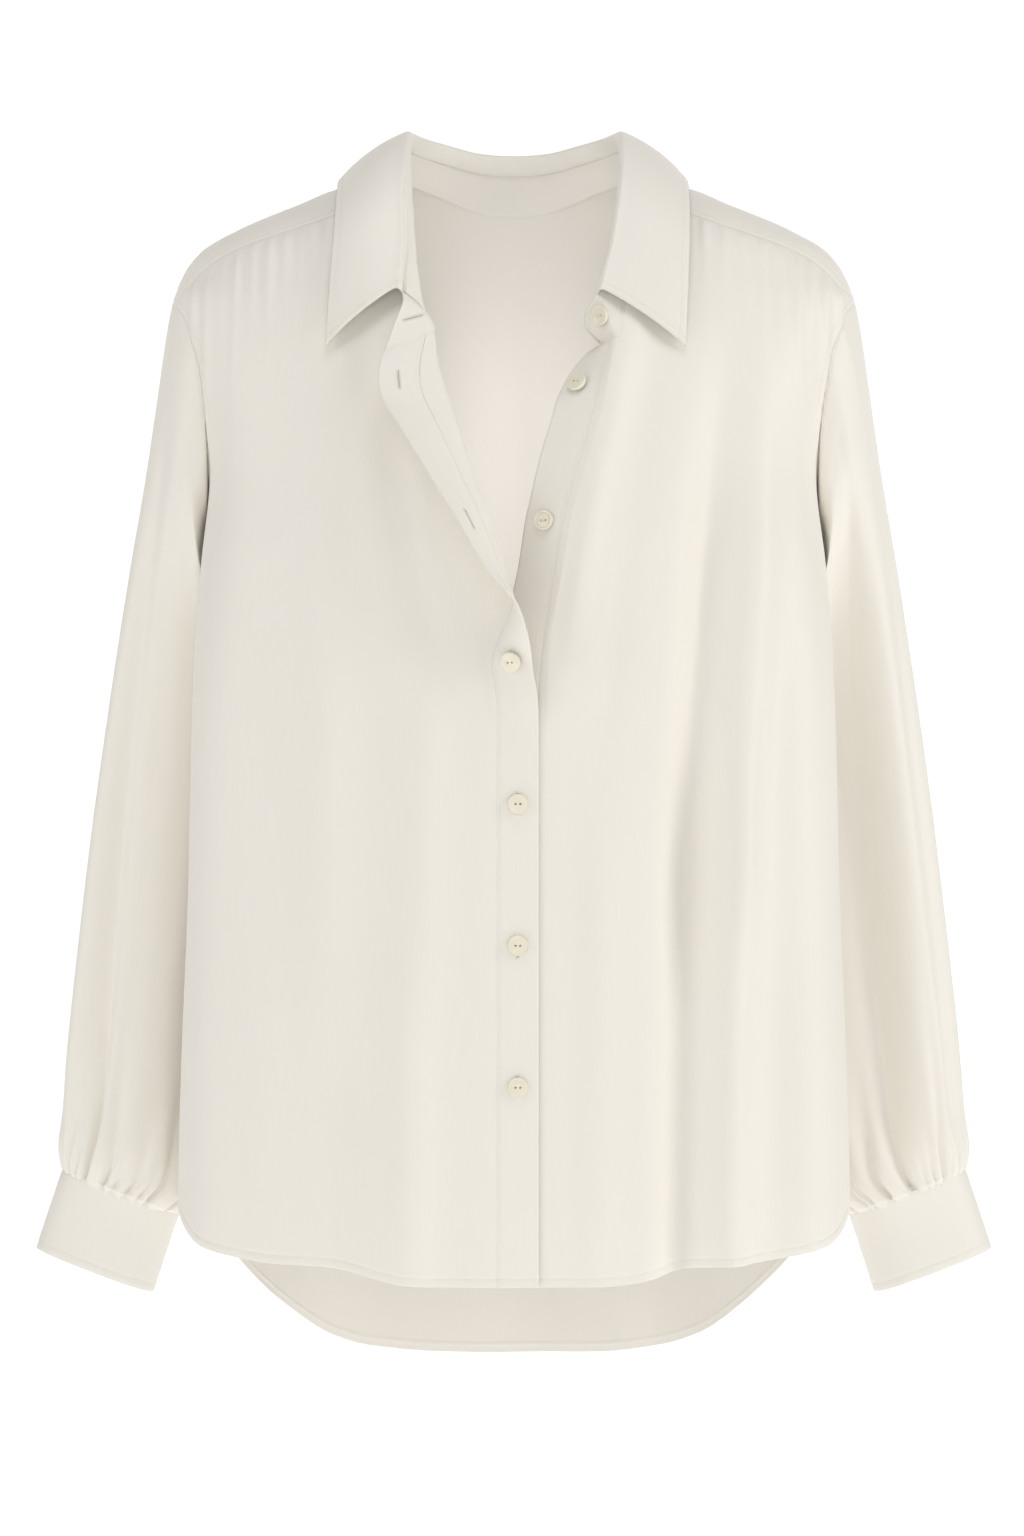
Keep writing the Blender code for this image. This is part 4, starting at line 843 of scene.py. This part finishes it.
# ------------------------------------------------------------------------------------------
# The sleeves: tubes of silk set into the armholes, full at the elbow and gathered into the
# cuffs, with slack folds above the gathers.
SLEEVE_ROUNDNESS = 2.5
RingRow = namedtuple("RingRow", "outer_x outer_y outer_z inner_x inner_y inner_z depth keep")
SLEEVE = rows_of(
    RingRow, (212.5, 2, -69, 184.5, 30, -222.5, 50, 0.92),
    (215.7, 6, -86, 188.0, 33, -229, 53, 0.7), (221.0, 13, -120, 189.5, 40, -242, 55, 0.45),
    (229.7, 26, -172, 182.0, 59, -265, 52, 0.2), (240.8, 38, -232, 172.0, 75, -300, 46, 0.06),
    (253.2, 48, -308, 165.0, 85, -350, 41, 0), (263.5, 53, -380, 166.0, 88, -407, 38.5, 0),
    (272.2, 54, -452, 170.0, 86, -474, 37, 0), (279.7, 54, -520, 178.0, 81, -543, 36, 0),
    (283.0, 54, -557, 183.0, 77, -582, 35, 0), (284.3, 54, -577, 188.0, 72, -604, 33.5, 0),
    (284.9, 54, -592, 196.0, 65, -620, 30, 0), (284.3, 54, -603.2, 210.3, 55, -631.4, 25, 0))
ARMHOLE_HALF_DEPTH = 47.0
cuff_down = np.array((0.31, 0, -0.951))           # the cuffs' own axis, in the left sleeve
SLEEVE_COLUMNS = 216
UNDERARM_ROUNDNESS = 4.2            # the slack cloth under the arm lies flat beside the body
UNDERARM_END = -340.0               # the height where that begins to fade, and over what length
UNDERARM_FADE = 110.0
FULLNESS = 2.2                      # the sleeve's blousing just above the cuff
TUCK_RINGS = ((0.975, 0.7), (0.955, 2.0), (0.95, 4.0))      # its end in the cuff: share, way down
LENGTH_SAMPLES = 400


def ring_points(outer_end, inner_end, depth, turn, inner_roundness=SLEEVE_ROUNDNESS):
    """A superellipse ring between two ends; turn 0 is outer, 90 back, 180 inner."""
    angle = np.radians(turn)[:, None]
    power = 2 / np.where(np.cos(angle) < 0, inner_roundness, SLEEVE_ROUNDNESS)
    centre, half = (outer_end + inner_end) / 2, (outer_end - inner_end) / 2
    return (centre + half * signed_power(np.cos(angle), power)
            + np.array((0, depth, 0)) * signed_power(np.sin(angle), power))


def armhole_points(front, turn):
    """The armhole in +X sizes, turn counted past the back."""
    turn = (turn + 180) % 360 - 180
    height = armhole_height(np.abs(turn))
    on_front = front.finish(front.lifted(-armhole_front(np.abs(turn)), height))
    angle = np.where(turn > 0, -armhole_back(turn), -armhole_front(np.abs(turn)))
    on_back = back_lifted(-360 - angle if front.mirror else angle, height)
    point = np.where((turn < SHOULDER_SEAM_TURN)[:, None], on_front, on_back)
    return point * np.array((np.sign(point[0, 0]), 1, 1))


# Gathers at the cuff and slack folds higher up, by turn round the sleeve and way up from it.
Pleat = namedtuple("Pleat", "turn length rise width")
BACK_PLEATS = rows_of(
    Pleat, (0, 40, -3, 4), (18, 60, -4, 5), (34, 34, -3, 3.5), (48, 90, -6, 6), (62, 36, -3, 3.5),
    (76, 60, -4, 4.5), (90, 110, -6.5, 6), (104, 38, -3, 3.5), (120, 70, -5, 5), (136, 36, -3, 4),
    (152, 60, -4, 5), (170, 40, -3, 4))
CUFF_PLEATS = {
    "right": BACK_PLEATS + rows_of(
        Pleat, (-140, 50, -3.5, 5), (-113, 75, -5, 5), (-103, 30, -2.5, 3), (-94, 60, -4.5, 4.5),
        (-86, 36, -3.5, 3.5), (-78, 85, -5, 4.5), (-58, 150, -8, 7), (-47, 34, -3, 3),
        (-36, 60, -4, 4), (-20, 40, -3, 4)),
    "left": BACK_PLEATS + rows_of(
        Pleat, (-150, 60, -4, 6), (-127, 26, -2.5, 3), (-120, 34, -3, 3), (-104, 95, -7, 6),
        (-87, 170, -8.5, 7), (-76, 30, -2.5, 3), (-68, 40, -3, 3), (-57, 140, -5, 6),
        (-47, 28, -2.5, 3), (-34, 50, -3.5, 4), (-20, 36, -2.5, 4)),
}
BACK_SLACK = rows_of(
    Pleat, (60, 380, 3.8, 14), (105, 300, -4.0, 13), (140, 260, 3.2, 12), (22, 340, -3.0, 13),
    (-150, 260, -3.4, 12))
SLEEVE_FOLDS = {
    "right": BACK_SLACK + rows_of(
        Pleat, (-52, 380, -6.0, 11), (-92, 330, 4.5, 14), (-122, 300, -3.5, 12), (-25, 260, 3.5, 12)),
    "left": BACK_SLACK + rows_of(
        Pleat, (-87, 380, -6.0, 11), (-58, 300, 4.5, 13), (-118, 330, 4.5, 14), (-33, 260, -4.0, 12)),
}


def sleeve_grid(name, front):
    turn = np.linspace(0, 360, SLEEVE_COLUMNS + 1)
    edge = armhole_points(front, turn)
    top, low = edge[0], armhole_points(front, np.array((0.0, 180.0)))[1]
    stations = [edge]
    for row in SLEEVE:
        outer_end = np.array((row.outer_x, row.outer_y, row.outer_z))
        inner_end = np.array((row.inner_x, row.inner_y, row.inner_z))
        squarer = mix(UNDERARM_ROUNDNESS, SLEEVE_ROUNDNESS,
                      ease((UNDERARM_END - row.inner_z) / UNDERARM_FADE))
        ring = ring_points(outer_end, inner_end, row.depth, turn, squarer)
        stations.append(ring + (edge - ring_points(top, low, ARMHOLE_HALF_DEPTH, turn)) * row.keep)
    stations = np.array(stations)
    samples = np.linspace(0, len(stations) - 1, LENGTH_SAMPLES)
    coarse = along(stations, samples)
    length = np.linalg.norm(np.diff(coarse, axis=0), axis=-1).mean(1).cumsum()
    way = np.concatenate(((0,), length))
    at = even_steps(way[-1], FINE_STEP, 3.4, 14.0) * way[-1]
    grid = along(stations, np.interp(at, way, samples))
    up = (way[-1] - at)[:, None]
    signed = (turn + 180) % 360 - 180
    rise = DRIFT_RISE * drift(turn * 1.6, up + 30) * ease(at[:, None] / 60) * ease(up / 30)
    for pleat in CUFF_PLEATS[name]:
        off = (signed - pleat.turn + 180) % 360 - 180
        spread = pleat.width * (0.4 + 1.1 * np.minimum(up / pleat.length, 1.5))
        fade = np.exp(-(up / pleat.length) ** 1.5) * ease(0.45 + up / 8)
        rise = rise + pleat.rise * bump(off / spread) * fade
    rise = rise + FULLNESS * bump((up - 16) / 20)
    for fold in SLEEVE_FOLDS[name]:
        off = (signed - fold.turn + 180) % 360 - 180
        fade = ease(up / 60) * ease(at[:, None] / 90) * np.exp(-((up - 150) / fold.length) ** 2)
        rise = rise + fold.rise * fade * bump(off / fold.width)
    centre = grid[:, :-1].mean(1, keepdims=True)
    grid = grid + unit(grid - centre) * rise[..., None]
    past_seam = grid[0] + unit(grid[0] - grid[2]) * SEAM_TUCK - unit(grid[0] - centre[0]) * 0.7
    foot_centre = centre[-1]
    tucked = [foot_centre + (grid[-1] - foot_centre) * shrink + cuff_down * drop
              for shrink, drop in TUCK_RINGS]
    grid = np.concatenate((past_seam[None], grid, tucked))
    return grid * (1 if front.mirror else -1, 1, 1)


for name, front in fronts.items():
    make_sheet("sleeve_" + name, sleeve_grid(name, front), SILK_WALL, name == "right",
               [Press("top", SEAM_TUCK, SEAM_DIP, 1.4)], sewn=False, closed=True)

# ------------------------------------------------------------------------------------------
# The cuffs: interlined silk strips, folded double and lapped behind the wrist, where one
# button holds them.
CUFF_WALL = 1.1
CUFF_HEIGHT = 53.0
CUFF_HALF_WIDTH = 39.5
CUFF_HALF_DEPTH = 24.5
CUFF_LAP_ANGLE = 50.0
CUFF_LAP_LIFT = 2.2
CUFF_START = 100.0
CUFF_GIRTH = 235.0
cuff_row = SLEEVE[-1]
cuff_outer = np.array((cuff_row.outer_x, cuff_row.outer_y, cuff_row.outer_z))
cuff_inner = np.array((cuff_row.inner_x, cuff_row.inner_y, cuff_row.inner_z))
cuff_centre = (cuff_outer + cuff_inner) / 2
cuff_across = unit(cuff_outer - cuff_inner)


def cuff_points(turn, drop, lift):
    power = 2 / SLEEVE_ROUNDNESS
    angle = np.radians(turn)[..., None]
    lift = lift[..., None]
    return (cuff_centre + cuff_down * drop[..., None]
            + cuff_across * (CUFF_HALF_WIDTH + lift) * signed_power(np.cos(angle), power)
            + np.array((0, 1, 0)) * (CUFF_HALF_DEPTH + lift) * signed_power(np.sin(angle), power))


def cuff_grid(side):
    whole = 360 + CUFF_LAP_ANGLE
    drop, run = np.meshgrid(even_steps(CUFF_HEIGHT, FINE_STEP, 2.0, 6.0) * CUFF_HEIGHT,
                            whole * even_steps(CUFF_GIRTH, FINE_STEP, 1.7, 5.0), indexing="ij")
    ripple = 0.25 * np.sin(run / 17 + drop / 30) * ease(drop / 12)
    lift = CUFF_LAP_LIFT * ease((run - 320) / 36) + ripple
    return cuff_points(CUFF_START - run, drop, lift) * (side, 1, 1)


EDGE_STITCHING = [Press(edge, 5.0, STITCH_DIP, 0.8) for edge in ("bottom", "left", "right")]
CUFF_PRESSES = [Press("top", 0, SEAM_DIP, 1.0), Press("bottom", 0, EDGE_DIP, EDGE_WIDTH),
                Press("top", CLOSE_STITCHING, STITCH_DIP, 0.7)] + EDGE_STITCHING
cuffs = {
    name: make_sheet("cuff_" + name, cuff_grid(side), CUFF_WALL, side > 0, CUFF_PRESSES)
    for name, side in (("right", -1), ("left", 1))
}

# ------------------------------------------------------------------------------------------
# The collar: an interlined stand on the neck seam and a pointed leaf that folds down over
# it. The stand rolls outwards with the right front, and its left end stands free.
COLLAR_WALL = 1.1
COLLAR_LENGTH = 400.0
STAND_HEIGHT = 30.0
LEAF_DEPTH = 40.0
CollarRow = namedtuple("CollarRow", "fold_x fold_y fold_z edge_x edge_y edge_z")
COLLAR_BACK = rows_of(
    CollarRow, (0, 61, 30, 0, 80, -15), (21, 58.5, 31.3, 33, 78, -13), (40, 50, 35.3, 63, 71, -6),
    (55, 36, 38.2, 90, 54, 3), (62.5, 16, 39, 106, 22, 11))
COLLAR_RIGHT = rows_of(
    CollarRow, (64.5, -8, 36, 108.5, -8, 11.5), (65.3, -34, 19, 108.8, -39, 0),
    (65.6, -57, -6, 109.5, -65, -24), (64.8, -75, -36, 111.5, -83, -58),
    (67.5, -92, -66, 113.7, -97, -97.6))
COLLAR_LEFT = rows_of(
    CollarRow, (65.5, -8, 36, 107.5, -8, 11.5), (66.2, -34, 19, 107.5, -39, 0),
    (64.0, -57, -6, 107.0, -65, -24), (59.0, -75, -36, 105.5, -83, -58),
    (51.7, -92, -66, 103.5, -98, -98))
RollRow = namedtuple("RollRow", "row right left")
STAND_ROLL = rows_of(
    RollRow, (0, 0, 0), (5, 0, 0), (6, 2, 0.5), (7, 6, 1), (8, 6, 1), (9, 3, 0))
STAND_TIPS = {"right": (-66.5, -99, -71), "left": (50.5, -94, -68)}
STAND_FOOT_CUT = {"right": 0.0, "left": 0.5}      # the rounded end's share off the foot
STAND_BELLY = {"right": 0.0, "left": 8.0}         # and how far it swells between its corners
COLLAR_STEPS = 12
LEAF_INSET = 2.3
LEAF_SEAM_DROP = 7.0
LEAF_CREST = ((-1.9, 1.4), (-0.9, 3.3), (1.0, 4.4), (4.4, 3.7))
LEAF_BULGE = 3.0
CREST_ROWS = 26
ROLLED_LEAF_SHIFT = 0.45
rolls = {name: smooth(STAND_ROLL, "row", name) for name in fronts}


def collar_line(prefix):
    """The fold or the edge, from the -X front end round the back to the +X end."""
    right, left = ([[getattr(row, prefix + axis) for axis in ("_x", "_y", "_z")] for row in rows]
                   for rows in (COLLAR_BACK[1:] + COLLAR_RIGHT, COLLAR_BACK + COLLAR_LEFT))
    return np.array([(-x, y, z) for x, y, z in right[::-1]] + left, float)


def neck_points(front, rows):
    """The neck seam in space on a front's side; row 0 is at the back centre."""
    places = neck_place(np.minimum(rows, NECK_SEAM_START), NECK)
    angle = places[:, 0]
    on_back = back_lifted(-360 - angle if front.mirror else angle, places[:, 1])
    places = front.neck_edge(rows)
    on_front = front.finish(front.lifted(places[:, 0], places[:, 1]))
    return np.where((rows < NECK_SEAM_START)[:, None], on_back, on_front)


def stand_across(name, heads, feet, roll):
    """Four lines of the stand, from its head to its foot, bowed inwards where it rolls."""
    inwards = np.array((-1.0 if fronts[name].mirror else 1.0, 0, 0))
    return np.stack((heads, mix(feet, heads, 0.65) + inwards * roll[:, None],
                     mix(feet, heads, 0.3) + inwards * roll[:, None], feet))


REACH_STEPS = 12


def half_stand(name, fold):
    """Half the stand, from the back centre to its front end."""
    front = fronts[name]
    last = NECK_LAST + 1
    rows = np.arange(last * COLLAR_STEPS + 1) / COLLAR_STEPS
    reach = float(front.reach(front.top))
    runs = np.concatenate((np.linspace(0, reach, REACH_STEPS)[1:],
                           reach + BAND_WIDTH * even_steps(BAND_WIDTH, FINE_STEP, 1.2, 4.0)[1:]))
    share = runs / runs[-1]
    short = 1 - STAND_FOOT_CUT[name] * share ** 2
    free_feet = front.finish(front.edge_point(0 * runs, runs * short))
    feet = np.concatenate((neck_points(front, rows), free_feet))
    tips = mix(fold[last], np.array(STAND_TIPS[name]), share[:, None])
    roll = rolls[name](np.concatenate((rows, rows[-1] + 0 * runs)))
    roll[len(rows):] = roll[-1] * (1 - share) + STAND_BELLY[name] * share ** 2
    return stand_across(name, np.concatenate((along(fold, rows), tips)), feet, roll)


def stand_grid():
    fold = collar_line("fold")
    middle = NECK_LAST + 1
    right = half_stand("right", fold[middle::-1])
    left = half_stand("left", fold[middle:])
    columns = np.concatenate((right[:, :0:-1], left), 1)
    grid = along(columns, even_steps(STAND_HEIGHT, FINE_STEP, 1.3, 4.0) * 3)
    return np.concatenate((grid, grid[-1:] + unit(grid[-1:] - grid[-3:-2]) * SEAM_TUCK))


def leaf_grid():
    """From its seam inside the stand up over the fold and down to its free edge."""
    fold, edge = collar_line("fold"), collar_line("edge")
    middle = NECK_LAST + 1
    t = even_steps(COLLAR_LENGTH, FINE_STEP, 2.2, 9.0) * (len(fold) - 1)
    top, low = along(fold, t), along(edge, t)
    ahead = unit(along(fold, t + 0.2) - along(fold, t - 0.2))
    outward = (low - top) * (1, 1, 0)
    outward = unit(outward - ahead * (outward * ahead).sum(-1, keepdims=True))
    above = np.cross(ahead, outward)
    above = above * np.where(above[:, 2:] > 0, 1, -1)
    row = np.abs(t - middle)
    halves = {name: stand_across(name, top, neck_points(fronts[name], row), rolls[name](row))
              for name in fronts}
    stand = np.where((t < middle)[:, None], halves["right"], halves["left"])
    roll = np.where(t < middle, rolls["right"](row), rolls["left"](row))[:, None]
    inwards = unit(np.cross(ahead, stand[1] - stand[0]))
    inwards = inwards * np.sign(-(inwards * outward).sum(-1, keepdims=True)) * LEAF_INSET
    depth = LEAF_SEAM_DROP * ease((middle - row) / 3)[:, None] + 1.5
    slope = unit(stand[1] - stand[0])
    start = top + outward * ROLLED_LEAF_SHIFT * roll
    lines = [top + slope * depth + inwards, top + slope * depth * 0.4 + inwards]
    lines += [start + outward * out + above * up for out, up in LEAF_CREST]
    run = low - lines[-1]
    normal = unit(np.cross(ahead, run))
    crest = len(lines) - 1
    for share in (0.25, 0.5, 0.75, 1.0):
        lines.append(lines[crest] + run * share + normal * LEAF_BULGE * 4 * share * (1 - share))
    flap = crest + 4 * (1 - even_steps(LEAF_DEPTH, FINE_STEP, 1.8, 9.0)[::-1])
    rows = np.concatenate((np.linspace(0, crest, CREST_ROWS)[:-1], np.sort(flap)))
    return along(np.array(lines), rows)


stand = make_sheet("collar_stand", stand_grid(), COLLAR_WALL, True,
                   [Press("bottom", CLOSE_STITCHING + SEAM_TUCK, STITCH_DIP, 0.7)])
grid = leaf_grid()
run = way_in(grid, "left")
puckers = 0.3 * np.sin(run / 2.9 + 2 * np.sin(run / 17)) * bump((way_in(grid, "top") - 5) / 3.0)
make_sheet("collar_leaf", grid, COLLAR_WALL, True,
           [Press("top", 1.4, STITCH_DIP, 0.7)] + EDGE_STITCHING
           + [Press(edge, 0, EDGE_DIP, EDGE_WIDTH) for edge in ("bottom", "left", "right")],
           ripple=puckers)

# ------------------------------------------------------------------------------------------
# The buttons: two-hole discs turned from cream casein, with a raised rim, polished. Each is
# sewn on with a few turns of thread; the cuffs' and the four lower ones are fastened.
BUTTON_RADIUS = 6.0
BUTTON_THICKNESS = 2.3
BUTTON_RIM = 1.15
DISH_DEPTH = 0.75
DISH_STEPS = ((BUTTON_RIM, 0), (0.45, DISH_DEPTH), (1.6, 0.12))     # ways in and down
FOOT_STEPS = ((0.9, 0.05),)
HOLE_RADIUS = 0.6
HOLE_PLACE = 1.35
THREAD_TURN = 0.55          # thickness of the thread where it passes over a button's bridge
BUTTON_NODES = (["front_button_%d" % (k + 1) for k in range(6)]
                + ["collar_button", "cuff_button_right", "cuff_button_left"])


def cream_casein():
    """Casein: a dense cast plastic, cream with cloudy streaks, tumbled to a wet-looking polish."""
    made, tree, shader = new_material("cream_casein", "#efe9d3", 0.22, 1.53, Coat_Weight=0.3,
                                      Coat_Roughness=0.12, Subsurface_Weight=0.12,
                                      Subsurface_Scale=1.5 * MM)
    clouds = add_noise(tree, "Object", [1 / (5.0 * MM)] * 3, 3.0, 0.6)
    add_tint(tree, shader, clouds, "#e9e1c8", "#f8f4e6")
    return made


def select_end(piece, way):
    """Selects an active piece's faces that look up (way 1) or down (way -1)."""
    bpy.ops.object.mode_set(mode="OBJECT")
    for part in (*piece.data.edges, *piece.data.vertices):
        part.select = False
    for face in piece.data.polygons:
        face.select = face.normal.z * way > 0.9
    bpy.ops.object.mode_set(mode="EDIT")


def turned_button():
    bpy.ops.mesh.primitive_cylinder_add(vertices=64, radius=BUTTON_RADIUS * MM,
                                        depth=BUTTON_THICKNESS * MM,
                                        location=(0, 0, BUTTON_THICKNESS / 2 * MM))
    button = bpy.context.active_object
    bpy.ops.object.transform_apply(location=True)
    bpy.ops.object.mode_set(mode="EDIT")
    bpy.ops.mesh.select_mode(type="FACE")
    for way, steps in ((1, DISH_STEPS), (-1, FOOT_STEPS)):
        select_end(button, way)
        for inset, drop in steps:
            bpy.ops.mesh.inset(thickness=inset * MM)
            bpy.ops.transform.translate(value=(0, 0, -drop * MM))
    bpy.ops.object.mode_set(mode="OBJECT")
    for side in (-1, 1):
        bpy.ops.mesh.primitive_cylinder_add(vertices=20, radius=HOLE_RADIUS * MM,
                                            depth=3 * BUTTON_THICKNESS * MM,
                                            location=(side * HOLE_PLACE * MM, 0, 0))
        drill = bpy.context.active_object
        cut = button.modifiers.new("hole", "BOOLEAN")
        cut.object = drill
        cut.solver = "EXACT"
        apply_modifiers(button)
        bpy.data.objects.remove(drill, do_unlink=True)
    edges = button.modifiers.new("edges", "BEVEL")
    edges.width = 0.16 * MM
    edges.segments = 3
    edges.limit_method = "ANGLE"
    edges.angle_limit = math.radians(35)
    apply_modifiers(button)
    bpy.ops.object.shade_smooth_by_angle(angle=math.radians(40))
    button.data.materials.clear()
    button.data.materials.append(cream_casein())
    return button


def seat_of(node):
    """Middle of a button's back and its outward normal, from the button's solid."""
    points = np.array([vertex.co for vertex in bpy.data.objects[node].data.vertices]) / MM
    middle = (points.max(0) + points.min(0)) / 2
    normal = np.linalg.svd(points - points.mean(0))[2][2]
    heights = (points - middle) @ normal
    crowded = np.abs(heights - heights.max()) < 0.3
    rim_here = np.linalg.norm((points - middle)[crowded] - np.outer(heights[crowded], normal), axis=1)
    if rim_here.min() < BUTTON_RADIUS * 0.3:
        normal, heights = -normal, -heights
    return middle + normal * heights.min(), normal


pattern = turned_button()
for node in BUTTON_NODES:
    seat, normal = seat_of(node)
    across = unit(np.cross((0, 0, 1.0), normal))
    up = np.cross(normal, across)
    mesh = pattern.data.copy()
    turn = Matrix((across, up, normal)).transposed().to_4x4()
    mesh.transform(Matrix.Translation(Vector(seat * MM)) @ turn)
    button = add_object(node + "_turned", mesh)
    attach(button, "root")
    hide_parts(node)
    height = BUTTON_THICKNESS - DISH_DEPTH + 0.08
    centres = np.array([seat + normal * height + up * off for off in (-0.3, 0, 0.3)])
    ways = np.array([across] * 3)
    sewn = stitch_mesh(node + "_thread", centres, ways, np.array([normal] * 3),
                       2 * HOLE_PLACE + 0.9, THREAD_TURN)
    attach(sewn, "root")
bpy.data.objects.remove(pattern, do_unlink=True)

# ------------------------------------------------------------------------------------------
# The buttonholes: slits down the middle of the right band, in the collar stand's end and in
# the cuffs' laps, edged with close stitches on both faces of the cloth and barred at the ends.
# Each slit is a flat strip of darker colour: painted shade where the cut opens.
HOLE_LENGTH = 14.0
EDGING_PITCH = 0.5
EDGING_LENGTH = 1.3
BAR_LENGTH = 2.7
STAND_HOLE_INSET = 12.0     # from the stand's end, measured along this row of its grid
STAND_HOLE_ROW = 12
HOLE_HEIGHTS = (-120.5, -204.5, -288.5, -373.5, -457.5, -541.5)
SLIT_HALF_WIDTH = 0.22
SLIT_HALF_LENGTH = HOLE_LENGTH / 2 - 1.0
FACE_LIFT = 0.08            # of the edging over the cloth
# The slit's darker colour is painted shade, not the silk's own colour.
painted_shade_material = new_material("buttonhole_gap", "#b4ac9a", 0.9)[0]


def buttonhole(name, centre, normal, down, wall):
    """Edging, end bars and a flat strip of painted shade for the slit, on the outer and the inner
    face.
    """
    edging, bars, slit = [], [], []
    for face, lift in ((normal, FACE_LIFT), (-normal, wall + FACE_LIFT)):
        across = np.cross(face, down)
        start = centre + face * lift
        steps = np.arange(-HOLE_LENGTH / 2 + 0.8, HOLE_LENGTH / 2 - 0.7, EDGING_PITCH)
        edging += [(start + down * step + across * side * (EDGING_LENGTH / 2 + 0.16), across, face)
                   for side in (-1, 1) for step in steps]
        bars += [(start + down * end * (HOLE_LENGTH / 2 - 0.35 * k) + face * 0.05, across, face)
                 for end in (-1, 1) for k in range(3)]
        # the slit: a flat quad of painted shade just above each face
        slit += [start + face * 0.02 + down * (SLIT_HALF_LENGTH * y) + across * (SLIT_HALF_WIDTH * x)
                 for x, y in ((-1, -1), (1, -1), (1, 1), (-1, 1))]
    edging, bars = (np.array(part).swapaxes(0, 1) for part in (edging, bars))
    pieces = (stitch_mesh(name + "_edging", *edging, EDGING_LENGTH, 0.4),
              stitch_mesh(name + "_bars", *bars, BAR_LENGTH, 0.45),
              link_mesh(name + "_gap", np.array(slit) * MM, [(0, 1, 2, 3), (4, 5, 6, 7)], painted_shade_material))
    for piece in pieces:
        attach(piece, "root")


def cloth_at(sheet, row, column):
    grid, normals = sheet
    down = unit(grid[min(row + 2, len(grid) - 1), column] - grid[row - 2, column])
    return grid[row, column], normals[row, column], down


band_grid = bands["right"][0]
middle_column = band_grid.shape[1] // 2
for number, height in enumerate(HOLE_HEIGHTS):
    row = int(np.argmin(np.abs(band_grid[:, middle_column, 2] - height)))
    buttonhole("buttonhole_%d" % (number + 1),
               *cloth_at(bands["right"], row, middle_column), BAND_WALL)
way_along = np.linalg.norm(np.diff(stand[0][STAND_HOLE_ROW], axis=0), axis=-1).cumsum()
centre, normal, down = cloth_at(stand, len(stand[0]) // 2,
                                int(np.searchsorted(way_along, STAND_HOLE_INSET)))
buttonhole("collar_buttonhole", centre, normal, np.cross(normal, down), COLLAR_WALL)
for name in ("right", "left"):
    grid, normals = cuffs[name]
    seat, _ = seat_of("cuff_button_" + name)
    near = np.linalg.norm(grid - seat, axis=-1)
    near[:, : grid.shape[1] // 2] = np.inf
    row, column = np.unravel_index(np.argmin(near), near.shape)
    centre, normal, down = cloth_at(cuffs[name], row, column)
    buttonhole("cuff_buttonhole_" + name, centre, normal, np.cross(normal, down), CUFF_WALL)

# ------------------------------------------------------------------------------------------
# The place it stands in: a plain white sweep of paper and the camera. The soft key lamp
# grazes the folds from the right, weaker ones fill them in, and the last lights the neck.
camera_data = bpy.data.cameras.new("camera")
camera = add_object("camera", camera_data)
CAMERA_DISTANCE = 3.2
VIEW_HEIGHT = 0.952         # of the picture's long side at the shoulders' depth
camera.location = (-0.0012, -CAMERA_DISTANCE, -0.352)
camera.rotation_euler = (math.pi / 2, 0, 0)
camera_data.sensor_fit = "VERTICAL"
camera_data.sensor_height = 36
camera_data.sensor_width = 36
camera_data.lens = 36 * CAMERA_DISTANCE / VIEW_HEIGHT
camera_data.clip_start = 0.1
camera_data.clip_end = 50
bpy.context.scene.camera = camera

paper = new_material("white_paper_sweep", "#ffffff", 0.9,
                     Emission_Color=hex_to_linear("#ffffff"), Emission_Strength=0.5)[0]
SWEEP_WIDTH, SWEEP_RADIUS, FLOOR = 8.0, 1.2, -1.05
arc = [(4.0 + SWEEP_RADIUS * math.sin(a), FLOOR + SWEEP_RADIUS * (1 - math.cos(a)))
       for a in (math.pi / 2 * k / 16 for k in range(17))]
profile = [(-3.0, FLOOR)] + arc + [(4.0 + SWEEP_RADIUS, 4.0)]
points = [(side * SWEEP_WIDTH / 2, y, z) for side in (-1, 1) for y, z in profile]
count = len(profile)
floor = link_mesh("paper_sweep", points,
                  [(k, k + count, k + 1 + count, k + 1) for k in range(count - 1)], paper)
floor.data.shade_smooth()


def add_lamp(name, place, aim, size, watts, colour):
    data = bpy.data.lights.new(name, "AREA")
    data.shape = "RECTANGLE"
    data.size, data.size_y = size
    data.energy = watts
    data.color = hex_to_linear(colour)[:3]
    lamp = add_object(name, data)
    lamp.location = place
    lamp.rotation_euler = (Vector(aim) - Vector(place)).to_track_quat("-Z", "Y").to_euler()


add_lamp("key_softbox", (2.6, -1.05, 0.6), (0, 0, -0.35), (1.2, 1.6), 25, "#fffcf7")
add_lamp("left_softbox", (-2.3, -1.5, 0.6), (0, 0, -0.35), (1.2, 1.6), 12.5, "#fffcf7")
add_lamp("front_softbox", (-0.2, -3.4, 0.5), (0, 0, -0.35), (1.6, 1.6), 8.5, "#fffefc")
add_lamp("top_softbox", (0, -0.9, 1.9), (0, 0, -0.2), (1.2, 1.0), 11.5, "#ffffff")
add_lamp("inner_glow", (0, -0.03, -0.16), (0, 1.0, -0.16), (0.08, 0.24), 0.105, "#f8f9ff")
world = bpy.data.worlds.new("studio")
bpy.context.scene.world = world
world.use_nodes = True
set_inputs(world.node_tree.nodes["Background"], Color=hex_to_linear("#fffefb"), Strength=0.33)
bpy.context.scene.view_settings.view_transform = "Standard"
